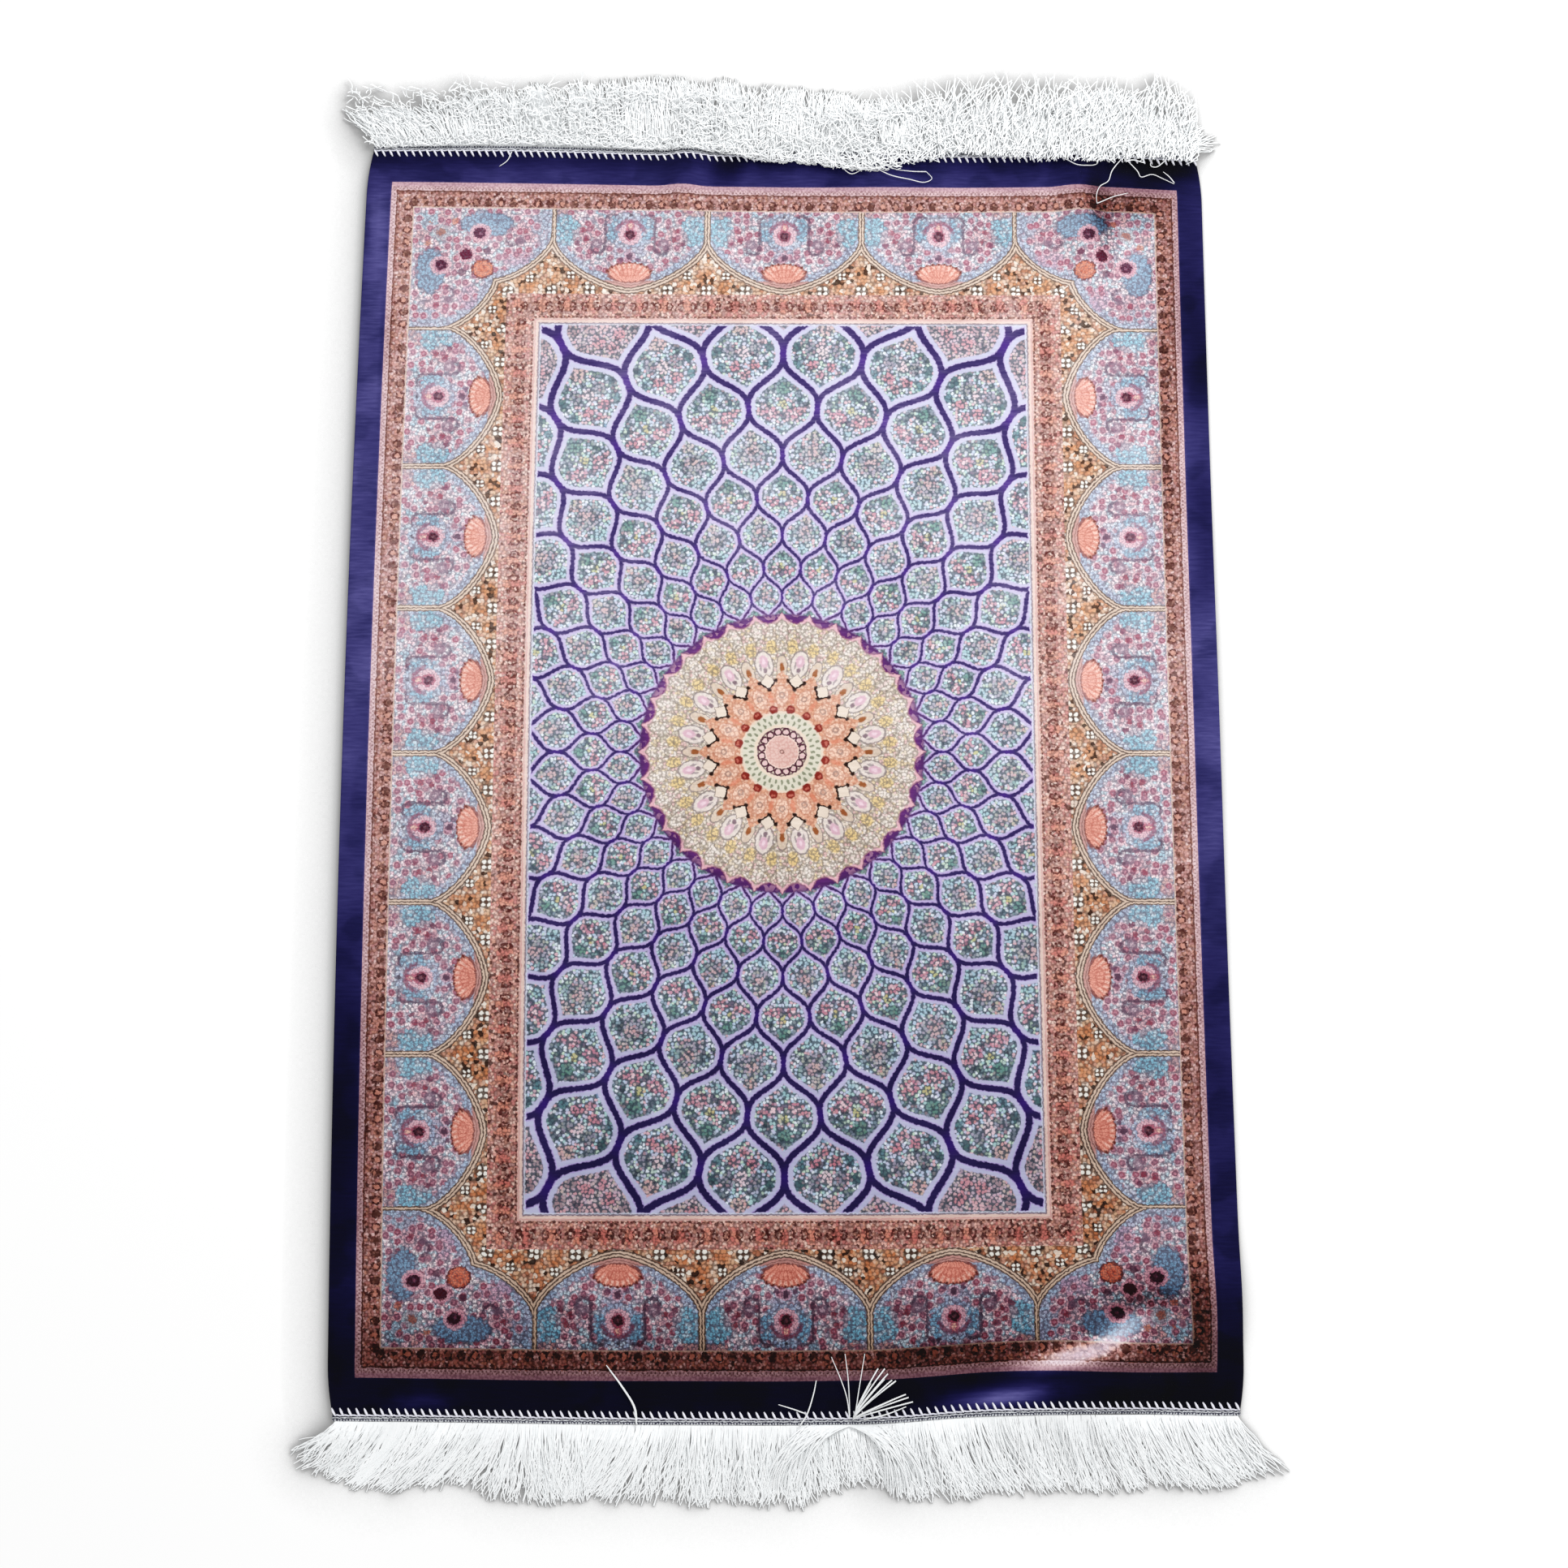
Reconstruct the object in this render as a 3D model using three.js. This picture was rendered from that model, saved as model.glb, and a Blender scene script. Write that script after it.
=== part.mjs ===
// A small Qom-style prayer-size rug, lying loose on a floor: one pile cloth, a heading tape sewn
// along each end, and a cut fringe hanging from each tape.
// Millimetres, +Z up, +Y towards the far end, +X to the right.
import * as THREE from 'three';

// Driving sizes of the pieces.
const CLOTH = {
  halfWidth: 302, // at the corners
  halfLength: 443.5,
  thickness: 3,
  sideBulge: 1.8, // the sides swell by this much halfway up
  sideDrift: -3, // and the cloth lies this much off its middle line there
  cornerPull: 3.5, // the corners are drawn in by this much
  cornerRun: 34, // over this length of side
};
const TAPE = { depth: 3.8, thickness: 2.4 };
const FRINGE = { heading: 7, lockGap: 1.2, tipTaper: 0.88, tipThickness: 2 };
const SEAM_GAP = 0.3;
const NEAR = -1;
const FAR = 1;

// The fineness of the faceted sheets.
const CLOTH_COLUMNS = 34;
const CLOTH_ROWS = 30;
const FRINGE_ROWS = 4;

// Soft ripples of the cloth. x and y are the middle of the crest, turn is the crest's direction in
// degrees from +X, along and across are its half length and half width, and rise is its height.
const RIPPLES = [
  { name: 'near right ridge', x: 222, y: -408, turn: 32, along: 150, across: 44, rise: 12 },
  { name: 'near right foot', x: 150, y: -440, turn: 60, along: 60, across: 42, rise: 4 },
  { name: 'near middle swell', x: -10, y: -424, turn: 84, along: 52, across: 62, rise: 3 },
  { name: 'near left roll', x: -190, y: -418, turn: 4, along: 130, across: 30, rise: 4 },
  { name: 'near shoulder', x: 20, y: -352, turn: 2, along: 330, across: 54, rise: 3 },
  { name: 'far left crease', x: -72, y: 432, turn: 80, along: 56, across: 20, rise: 5 },
  { name: 'far right crease', x: 214, y: 396, turn: 98, along: 92, across: 22, rise: 5 },
  { name: 'far middle swell', x: 70, y: 440, turn: 90, along: 44, across: 66, rise: 3 },
  { name: 'far left lip', x: -190, y: 446, turn: 0, along: 120, across: 20, rise: 2.5 },
  { name: 'right side swell', x: 296, y: 40, turn: 90, along: 190, across: 34, rise: 2 },
];

// The lists below hold soft humps along an end: at is a hump's middle, run is its half width and by is
// what it adds. Here they draw the ends of the cloth in.
const END_DRAW = {
  near: [
    { name: 'left corner', at: -304, run: 250, by: 3 },
    { name: 'ridge', at: 170, run: 130, by: 7 },
    { name: 'right corner', at: 304, run: 150, by: 5 },
  ],
  far: [
    { name: 'middle', at: 60, run: 380, by: 4 },
    { name: 'right corner', at: 304, run: 90, by: 4.5 },
  ],
};

// The strands of a fringe lie in locks that fan outwards. fan is how far the outermost locks lean, and
// reach is how far a lock stands out from the tape.
const NEAR_FRINGE = {
  end: NEAR,
  loft: 4.5,
  fan: 31,
  leans: [],
  reach: 51,
  reaches: [
    { name: 'left corner', at: -304, run: 60, by: -18 },
    { name: 'left', at: -240, run: 90, by: -5 },
    { name: 'notch', at: 42, run: 36, by: -12 },
    { name: 'right corner', at: 304, run: 60, by: -12 },
  ],
};
const FAR_FRINGE = {
  end: FAR,
  loft: 7,
  fan: 14,
  leans: [
    { name: 'left corner', at: -304, run: 90, by: -14 },
    { name: 'right', at: 170, run: 120, by: 9 },
  ],
  reach: 40,
  reaches: [
    { name: 'left corner', at: -304, run: 100, by: -12 },
    { name: 'middle', at: -80, run: 190, by: 17 },
    { name: 'right peak', at: 210, run: 45, by: 12 },
    { name: 'right corner', at: 304, run: 60, by: -24 },
  ],
};

// A soft hump that is 1 at t = 0 and 0 with no slope from t = 1 outwards.
function hump(t) {
  return Math.abs(t) < 1 ? Math.cos((Math.PI / 2) * t) ** 2 : 0;
}

// The height of the cloth's underside above the floor.
function lift(x, y) {
  let height = 0;
  for (const ripple of RIPPLES) {
    const turn = THREE.MathUtils.degToRad(ripple.turn);
    const along = (x - ripple.x) * Math.cos(turn) + (y - ripple.y) * Math.sin(turn);
    const across = (y - ripple.y) * Math.cos(turn) - (x - ripple.x) * Math.sin(turn);
    height += ripple.rise * hump(along / ripple.along) * hump(across / ripple.across);
  }
  return height;
}

// What a list of humps adds up to at a place along the end.
function humpsAt(humps, x) {
  return humps.reduce((sum, { at, run, by }) => sum + by * hump((x - at) / run), 0);
}

// The cloth's half width and its middle line at a height up the rug.
function halfWidthAt(y) {
  const middle = 1 - (y / CLOTH.halfLength) ** 2;
  const toCorner = (Math.abs(y) - (CLOTH.halfLength - CLOTH.cornerRun)) / CLOTH.cornerRun;
  return CLOTH.halfWidth + CLOTH.sideBulge * middle - CLOTH.cornerPull * Math.max(0, toCorner) ** 2;
}

function middleLineAt(y) {
  return CLOTH.sideDrift * (1 - (y / CLOTH.halfLength) ** 2);
}

// The cloth's end line runs straight between stations, which the pieces along it share. A station is
// counted from the left corner and may lie between two whole ones.
const endHalfWidth = halfWidthAt(CLOTH.halfLength);

function stationX(station) {
  return ((2 * station) / CLOTH_COLUMNS - 1) * endHalfWidth;
}

function endLine(end, x) {
  const station = ((x / endHalfWidth + 1) * CLOTH_COLUMNS) / 2;
  const left = Math.min(Math.max(Math.floor(station), 0), CLOTH_COLUMNS - 1);
  const humps = end === NEAR ? END_DRAW.near : END_DRAW.far;
  const [from, to] = [left, left + 1].map((k) => humpsAt(humps, stationX(k)));
  return end * (CLOTH.halfLength - THREE.MathUtils.lerp(from, to, station - left));
}

// A closed sheet that lies on the ripples. place(i, j) gives x, y and the thickness at a grid point,
// with i running towards +X and j towards +Y.
function sheet(columns, rows, place) {
  const top = [];
  const bottom = [];
  for (let j = 0; j <= rows; j += 1) {
    for (let i = 0; i <= columns; i += 1) {
      const { x, y, thickness, height } = place(i, j);
      bottom.push(x, y, height);
      top.push(x, y, height + thickness);
    }
  }
  const under = top.length / 3;
  const at = (i, j) => j * (columns + 1) + i;
  const faces = [];
  const quad = (a, b, c, d) => faces.push(a, b, c, a, c, d);
  for (let j = 0; j < rows; j += 1) {
    for (let i = 0; i < columns; i += 1) {
      const [a, b, c, d] = [at(i, j), at(i + 1, j), at(i + 1, j + 1), at(i, j + 1)];
      quad(a, b, c, d);
      quad(under + d, under + c, under + b, under + a);
    }
  }
  const wall = (a, b) => quad(under + a, under + b, b, a);
  for (let i = 0; i < columns; i += 1) {
    wall(at(i, 0), at(i + 1, 0));
    wall(at(i + 1, rows), at(i, rows));
  }
  for (let j = 0; j < rows; j += 1) {
    wall(at(columns, j), at(columns, j + 1));
    wall(at(0, j + 1), at(0, j));
  }
  const geometry = new THREE.BufferGeometry();
  geometry.setAttribute('position', new THREE.Float32BufferAttribute([...top, ...bottom], 3));
  geometry.setIndex(faces);
  geometry.computeVertexNormals();
  return geometry;
}

// The pile cloth. Its rows stand closer together towards the ends, where the ripples are.
function clothGeometry() {
  const closeUp = 0.35;
  return sheet(CLOTH_COLUMNS, CLOTH_ROWS, (i, j) => {
    const s = (2 * j) / CLOTH_ROWS - 1;
    const share = (1 + closeUp) * s - closeUp * s ** 3;
    const flatY = CLOTH.halfLength * share;
    const x = middleLineAt(flatY) + ((2 * i) / CLOTH_COLUMNS - 1) * halfWidthAt(flatY);
    const y = THREE.MathUtils.lerp(endLine(NEAR, x), endLine(FAR, x), (share + 1) / 2);
    return { x, y, thickness: CLOTH.thickness, height: lift(x, y) };
  });
}

// The heading tape, a narrow strip along one end of the cloth.
function tapeGeometry(end) {
  return sheet(CLOTH_COLUMNS, 1, (i, j) => {
    const x = stationX(i);
    const out = end === FAR ? j : 1 - j;
    const y = endLine(end, x) + end * (SEAM_GAP + out * TAPE.depth);
    return { x, y, thickness: TAPE.thickness, height: lift(x, y) };
  });
}

// The columns of the fringe's comb: the left side, middle and right side of each lock, and the valley
// between two locks. A lock is two stations wide.
function combColumns(fringe) {
  const half = stationX(1) - stationX(0);
  const columns = [];
  const locks = [];
  for (let k = 1; k < CLOTH_COLUMNS; k += 2) {
    const middle = stationX(k);
    const lean = (fringe.fan * middle) / endHalfWidth + humpsAt(fringe.leans, middle);
    locks.push({ middle, lean, reach: fringe.reach + humpsAt(fringe.reaches, middle) });
  }
  locks.forEach((lock, k) => {
    const { middle } = lock;
    for (const side of [-1, 0, 1]) {
      const root = middle + side * (half - FRINGE.lockGap / 2);
      const tip = middle + lock.lean + side * half * FRINGE.tipTaper;
      columns.push({ root, tip, reach: lock.reach });
    }
    const next = locks[k + 1];
    if (next) {
      const root = middle + half;
      const slant = (lock.lean / lock.reach + next.lean / next.reach) / 2;
      columns.push({ root, tip: root + slant * FRINGE.heading, reach: FRINGE.heading });
    }
  });
  return columns;
}

// The fringe: one comb whose locks stand out from the tape and come down to the floor.
function fringeGeometry(fringe) {
  const { end, loft } = fringe;
  const columns = combColumns(fringe);
  const offset = SEAM_GAP + TAPE.depth + SEAM_GAP;
  return sheet(columns.length - 1, FRINGE_ROWS, (i, j) => {
    const { root, tip, reach } = columns[i];
    const out = end === FAR ? j / FRINGE_ROWS : 1 - j / FRINGE_ROWS;
    const x = THREE.MathUtils.lerp(root, tip, out);
    const rootY = endLine(end, root) + end * offset;
    const y = rootY + end * reach * out;
    const full = THREE.MathUtils.lerp(TAPE.thickness, loft, Math.min(1, 3 * out));
    const thickness = THREE.MathUtils.lerp(full, FRINGE.tipThickness, out ** 2);
    return { x, y, thickness, height: lift(root, rootY) * (1 - out) ** 2 };
  });
}

const pileFinish = new THREE.MeshStandardMaterial({ color: '#8f7fb0', roughness: 0.75 });
const tapeFinish = new THREE.MeshStandardMaterial({ color: '#9a9aa8', roughness: 0.9 });
const fringeFinish = new THREE.MeshStandardMaterial({ color: '#eef3f2', roughness: 0.8 });

const pieces = [
  ['pile_cloth', clothGeometry(), pileFinish],
  ['near_heading_tape', tapeGeometry(NEAR), tapeFinish],
  ['far_heading_tape', tapeGeometry(FAR), tapeFinish],
  ['near_fringe', fringeGeometry(NEAR_FRINGE), fringeFinish],
  ['far_fringe', fringeGeometry(FAR_FRINGE), fringeFinish],
];

const rug = new THREE.Group();
for (const [name, geometry, material] of pieces) {
  const piece = new THREE.Mesh(geometry, material);
  piece.name = name;
  rug.add(piece);
}

// The origin is the middle of the rug's footprint, on the floor.
const box = new THREE.Box3().setFromObject(rug);
const middle = box.getCenter(new THREE.Vector3());
rug.position.set(-middle.x, -middle.y, -box.min.z);

export default rug;
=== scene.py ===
# A small Qom-style rug: a brushed velvet pile cloth, a heading tape sewn along each end over an
# overlocked edge, and a cut fringe of white floss hanging from each tape. It lies loose on the floor.
# Sizes and places in the tables are millimetres: u and v are the place in the woven pattern, measured
# from its middle, and x and y are the place on the floor, from the same middle. Meshes are in metres.
import math

import bpy
import numpy as np
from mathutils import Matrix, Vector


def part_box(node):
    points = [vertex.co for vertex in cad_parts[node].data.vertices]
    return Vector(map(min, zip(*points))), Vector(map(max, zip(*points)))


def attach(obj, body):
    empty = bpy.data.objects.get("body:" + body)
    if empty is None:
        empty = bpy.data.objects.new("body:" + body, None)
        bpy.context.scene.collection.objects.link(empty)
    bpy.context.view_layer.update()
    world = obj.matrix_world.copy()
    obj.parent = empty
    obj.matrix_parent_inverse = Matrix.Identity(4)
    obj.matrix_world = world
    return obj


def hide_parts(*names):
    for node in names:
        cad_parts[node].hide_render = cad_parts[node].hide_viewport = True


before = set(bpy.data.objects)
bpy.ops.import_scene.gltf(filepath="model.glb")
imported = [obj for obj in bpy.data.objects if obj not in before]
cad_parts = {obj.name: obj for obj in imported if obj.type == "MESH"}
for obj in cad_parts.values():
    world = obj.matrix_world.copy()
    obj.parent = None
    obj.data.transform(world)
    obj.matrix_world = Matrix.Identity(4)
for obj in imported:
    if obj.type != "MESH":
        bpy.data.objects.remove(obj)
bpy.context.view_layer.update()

MM = 0.001
NEAR = -1
FAR = 1

# ------------------------------------------------------------------ the cloth and how it lies

CLOTH = {
    "half_width": 302,
    "half_length": 443.5,
    "thickness": 3,
    "side_bulge": 1.8,
    "side_drift": -3,
    "corner_pull": 3.5,
    "corner_run": 34,
}
TAPE = {"depth": 3.8, "thickness": 2.4, "rib": 0.15}
SEAM_GAP = 0.3


def table(columns, *rows):
    """The rows of a table, each under the names of its columns."""
    return [dict(zip(columns.split(), row)) for row in rows]


def humps(*rows):
    """Soft humps along an end: at is a hump's middle, run is its half width and by is what it adds."""
    return table("name at run by", *rows)


# Soft ripples: x and y are the middle of the crest, turn is its direction in degrees from +X, along and
# across are its half length and half width, and rise is its height.
RIPPLES = table(
    "name x y turn along across rise",
    ("near right ridge", 222, -408, 32, 150, 44, 12),
    ("near right foot", 150, -440, 60, 60, 42, 4),
    ("near middle swell", -10, -424, 84, 52, 62, 3),
    ("near left roll", -190, -418, 4, 130, 30, 4),
    ("near shoulder", 20, -352, 2, 330, 54, 3),
    ("far left crease", -72, 432, 80, 56, 20, 5),
    ("far right crease", 214, 396, 98, 92, 22, 5),
    ("far middle swell", 70, 440, 90, 44, 66, 3),
    ("far left lip", -190, 446, 0, 120, 20, 2.5),
    ("right side swell", 296, 40, 90, 190, 34, 2),
)

# How far the two ends of the cloth are drawn in.
END_DRAW = {
    NEAR: humps(
        ("left corner", -304, 250, 3),
        ("ridge", 170, 130, 7),
        ("right corner", 304, 150, 5),
    ),
    FAR: humps(
        ("middle", 60, 380, 4),
        ("right corner", 304, 90, 4.5),
    ),
}
END_DRAW_RUN = 170  # the pattern takes up the draw over this length of cloth

tape_low, tape_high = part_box("near_heading_tape")
ORIGIN_X = (tape_low.x + tape_high.x) / 2
ORIGIN_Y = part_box("pile_cloth")[0].y + CLOTH["half_length"] * MM


def hump(t):
    """A soft hump that is 1 at t = 0 and 0 with no slope from t = 1 outwards."""
    return np.where(np.abs(t) < 1, np.cos(np.pi / 2 * np.clip(t, -1, 1)) ** 2, 0.0)


def humps_at(rows, x):
    """What a list of humps adds up to at a place along an end."""
    return sum((row["by"] * hump((x - row["at"]) / row["run"]) for row in rows), np.zeros_like(x, float))


def crest(row, x, y):
    """How strongly a row of a table of crests is felt at a place, from 0 to 1."""
    turn = math.radians(row["turn"])
    along = (x - row["x"]) * math.cos(turn) + (y - row["y"]) * math.sin(turn)
    across = (y - row["y"]) * math.cos(turn) - (x - row["x"]) * math.sin(turn)
    return hump(along / row["along"]) * hump(across / row["across"])


def lift(x, y):
    """The height of the cloth's underside above the floor."""
    return sum(ripple["rise"] * crest(ripple, x, y) for ripple in RIPPLES)


def eased(x, rows, values):
    """A value read off a table's column, eased from row to row."""
    rows = np.array(rows, float)
    values = np.array(values, float)
    x = np.clip(x, rows[0], rows[-1])
    left = np.clip(np.searchsorted(rows, x, "right") - 1, 0, len(rows) - 2)
    share = (x - rows[left]) / (rows[left + 1] - rows[left])
    step = share * share * (3 - 2 * share)
    return values[left] + (values[left + 1] - values[left]) * step


def half_width_at(v):
    """The sides bulge a little, and are drawn in at the corners."""
    middle = 1 - (v / CLOTH["half_length"]) ** 2
    to_corner = (np.abs(v) - (CLOTH["half_length"] - CLOTH["corner_run"])) / CLOTH["corner_run"]
    pull = CLOTH["corner_pull"] * np.maximum(0, to_corner) ** 2
    return CLOTH["half_width"] + CLOTH["side_bulge"] * middle - pull


END_HALF = half_width_at(CLOTH["half_length"])


def middle_line_at(v):
    """The cloth's middle wanders a little to one side between its ends."""
    return CLOTH["side_drift"] * (1 - (v / CLOTH["half_length"]) ** 2)


def end_line(end, x):
    """Where the cloth ends."""
    return end * (CLOTH["half_length"] - humps_at(END_DRAW[end], x))


def on_floor(u, v):
    """Where a place in the pattern lies on the floor."""
    x = middle_line_at(v) + u / CLOTH["half_width"] * half_width_at(v)
    y = v
    for end in (NEAR, FAR):
        draw = humps_at(END_DRAW[end], x)
        y = y - end * draw * hump((CLOTH["half_length"] - end * v) / END_DRAW_RUN)
    return x, y


def metres(x, y, z):
    """Millimetres from the rug's middle as points of the frame."""
    x, y, z = np.broadcast_arrays(x, y, z)
    return np.stack([x * MM + ORIGIN_X, y * MM + ORIGIN_Y, z * MM], axis=-1)


# ------------------------------------------------------------------ the layout of the woven pattern

# Half width and half length of each border's inner edge.
VIOLET_BAND = (284, 419.5)
OUTER_GUARD = (267, 400)
MAIN_BORDER = (198, 335)
INNER_GUARD = (174.3, 312.8)
CORNER_BLOCK = (166.5, 309)

# The print's knots of colour, which differ a little in size from part to part. The flowers and scrolls
# are drawn in finer knots than their ground is.
FIELD_KNOT = 2.3
GUARD_KNOT = 2.0
GARDEN_KNOT = 2.4
GOLD_KNOT = 2.5
MOTIF_KNOT = 1.3

PATTERN_MAP = "pattern_mm"
BAKE_MAP = "OFBake"

# ------------------------------------------------------------------ dyes and nodes


def dye(hex_colour):
    """An sRGB hex value as linear red, green, blue and alpha."""
    parts = [int(hex_colour[k : k + 2], 16) / 255 for k in (1, 3, 5)]
    linear = [c / 12.92 if c <= 0.04045 else ((c + 0.055) / 1.055) ** 2.4 for c in parts]
    return (*linear, 1.0)


def add(tree, kind, inputs=(), **settings):
    """A shader node with its settings and links. Inputs are numbers, colours, sockets or fields."""
    node = tree.nodes.new("ShaderNode" + kind)
    for name, value in settings.items():
        setattr(node, name, value)
    pairs = inputs.items() if isinstance(inputs, dict) else enumerate(inputs)
    for place, value in pairs:
        value = getattr(value, "socket", value)
        if isinstance(value, bpy.types.NodeSocket):
            tree.links.new(value, node.inputs[place])
        else:
            node.inputs[place].default_value = value
    return node


def seen_directly(tree):
    """1 for what the camera sees, straight or in a mirror or glass, and 0 for light on its way."""
    rays = add(tree, "LightPath")
    seen = Field(tree, rays.outputs["Is Camera Ray"])
    for other in ("Is Glossy Ray", "Is Transmission Ray"):
        seen = seen.work("MAXIMUM", rays.outputs[other])
    return seen


def new_material(name):
    material = bpy.data.materials.new(name)
    material.use_nodes = True
    material.node_tree.nodes.clear()
    return material


class Field:
    """A number that varies over a surface. Arithmetic on it adds to the surface's nodes."""

    def __init__(self, tree, socket):
        self.tree = tree
        self.socket = socket

    def work(self, operation, *others, **settings):
        node = add(self.tree, "Math", (self, *others), operation=operation, **settings)
        return Field(self.tree, node.outputs[0])

    def __add__(self, other):
        return self.work("ADD", other)

    def __sub__(self, other):
        return self.work("SUBTRACT", other)

    def __rsub__(self, other):
        return self.work("MULTIPLY_ADD", -1.0, other)

    def __mul__(self, other):
        return self.work("MULTIPLY", other)

    def __truediv__(self, other):
        return self.work("DIVIDE", other)

    def __abs__(self):
        return self.work("ABSOLUTE")

    __radd__ = __add__
    __rmul__ = __mul__

    def below(self, edge, soft=0.5):
        """1 where the field is under an edge, and 0 over it."""
        return self.work("MULTIPLY_ADD", -1 / soft, edge / soft + 0.5, use_clamp=True)

    def above(self, edge, soft=0.5):
        return self.work("MULTIPLY_ADD", 1 / soft, 0.5 - edge / soft, use_clamp=True)

    def near(self, middle, half, soft=0.5):
        """1 where the field is within half of a middle value."""
        return abs(self - middle).below(half, soft)

    def folded(self, length):
        """The distance to the nearest even multiple of a length, as a pattern mirrors and repeats."""
        return self.work("PINGPONG", length)


PRINT_WANDER = 1.5  # how far the print strays from its drawing, at most, on the soft pile
WANDER_SCALE = 0.45  # and how many times it turns to and fro in a millimetre


class Dyeing:
    """One region of the rug: its material, the place in the pattern, and the colour laid on so far."""

    def __init__(self, name, ground):
        self.material = new_material(name)
        self.tree = self.material.node_tree
        self.drawn = add(self.tree, "UVMap", uv_map=PATTERN_MAP).outputs["UV"]
        inputs = {"Vector": self.drawn, "Scale": WANDER_SCALE, "Detail": 1.0}
        stray = add(self.tree, "TexNoise", inputs, noise_dimensions="2D").outputs["Color"]
        half = (-PRINT_WANDER / 2, -PRINT_WANDER / 2, 0)
        moved = add(self.tree, "VectorMath", [self.drawn, half], operation="ADD").outputs[0]
        span = (PRINT_WANDER, PRINT_WANDER, 0)
        place = add(self.tree, "VectorMath", [stray, span, moved], operation="MULTIPLY_ADD")
        self.place = place.outputs[0]
        self.u, self.v = self.parts(self.place)
        self.colour = dye(ground)

    def parts(self, place):
        found = add(self.tree, "SeparateXYZ", [place]).outputs
        return Field(self.tree, found["X"]), Field(self.tree, found["Y"])

    def point(self, across, along):
        """A place of its own inside a motif."""
        return add(self.tree, "CombineXYZ", [across, along]).outputs[0]

    def lay(self, colour, *covers):
        """Lays a colour over what is there, where all of the covers meet."""
        share = math.prod(cover for cover in covers if not isinstance(cover, Field))
        fields = [cover for cover in covers if isinstance(cover, Field)]
        cover = fields[0]
        for other in fields[1:]:
            cover = cover * other
        if share != 1:
            cover = cover * share
        inputs = {0: cover, 6: self.colour, 7: dye(colour)}
        self.colour = add(self.tree, "Mix", inputs, data_type="RGBA").outputs[2]

    def oval(self, place, across, along, half_width, half_length=None):
        """How far out a place is from the middle of an oval spot, with 1 at the spot's rim."""
        half_length = half_length or half_width
        scale = (1 / half_width, 1 / half_length, 0)
        shift = (-across / half_width, -along / half_length, 0)
        moved = add(self.tree, "VectorMath", [place, scale, shift], operation="MULTIPLY_ADD")
        length = add(self.tree, "VectorMath", [moved.outputs[0]], operation="LENGTH")
        return Field(self.tree, length.outputs["Value"])

    def spots(self, place, rows, *covers):
        """Lays oval spots from a table: across, along, half width, half length, colour and cover."""
        for across, along, half_width, half_length, colour, cover in rows:
            rim = 0.8 / min(half_width, half_length) if half_width > 1 else 0.35
            spot = self.oval(place, across, along, half_width, half_length)
            self.lay(colour, spot.below(1, min(rim, 1.2)), cover, *covers)

    def knots(self, size, scatter=0.9):
        """The woven knots of colour, a size apart."""
        return Knots(self, size, scatter)

    def cloud(self, size):
        """A soft cloud from 0 to 1, its puffs a size apart."""
        inputs = {"Vector": self.place, "Scale": 1 / size, "Detail": 1.0}
        node = add(self.tree, "TexNoise", inputs, noise_dimensions="2D")
        return Field(self.tree, node.outputs[0])


class Knots:
    """Small round spots of print: how far off the nearest spot's middle is, two numbers of the spot's
    own, and where its middle lies."""

    def __init__(self, d, size, scatter):
        self.d = d
        inputs = {"Vector": d.place, "Scale": 1 / size, "Randomness": scatter}
        node = add(d.tree, "TexVoronoi", inputs, voronoi_dimensions="2D")
        own = add(d.tree, "SeparateColor", [node.outputs["Color"]])
        self.away = Field(d.tree, node.outputs["Distance"])
        self.tint = Field(d.tree, own.outputs[0])
        self.tone = Field(d.tree, own.outputs[1])
        self.u, self.v = d.parts(node.outputs["Position"])

    def tinted(self, colours, *covers):
        """Shares a list of colours out among the knots."""
        for k, colour in enumerate(colours):
            self.d.lay(colour, self.tint.above(1 - (len(colours) - k) / (len(colours) + 1), 0.02), *covers)

    def outlined(self, colour, cover, *covers, start=0.44):
        """Darkens the gaps between the knots."""
        self.d.lay(colour, self.away.above(start, 0.22), cover, *covers)


# Polyester velvet, woven, printed through and brushed. Light and shade on the pile are painted into its
# colour from a light level stored on the mesh, where 1 is the pile at rest. Below 1, painted shade makes
# the dyes deep and dark, and above it a painted sheen makes them pale and hazy. Its rows show as fine
# streaks across the rug.
NAP_ROW = 1.6  # the real rows are 0.8 mm apart, drawn coarser so that they show
ROW_LENGTH = 0.12  # a row's streaks are this share as close together along it as across it
ROW_SPREAD = 0.22  # how far the rows differ in their painted light level
DEEPEST_PAINTED_SHADE = 1.35  # how much deeper than at rest the dyes are under the deepest painted shade
PALEST_PAINTED_LIGHT = 0.7  # and the lowest power the dyes are raised to, where painted light pales them most
PILE_PAINTED_SHADE = 0.5  # how much painted shade darkens the pile where its light level is low
PAINTED_SHEEN_GROWTH = 0.7  # how fast a painted sheen comes up as the light level rises past 1,
MOST_PAINTED_SHEEN = 0.6  # and the most of it
TUFT = 0.9  # the tufts' own size


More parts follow.
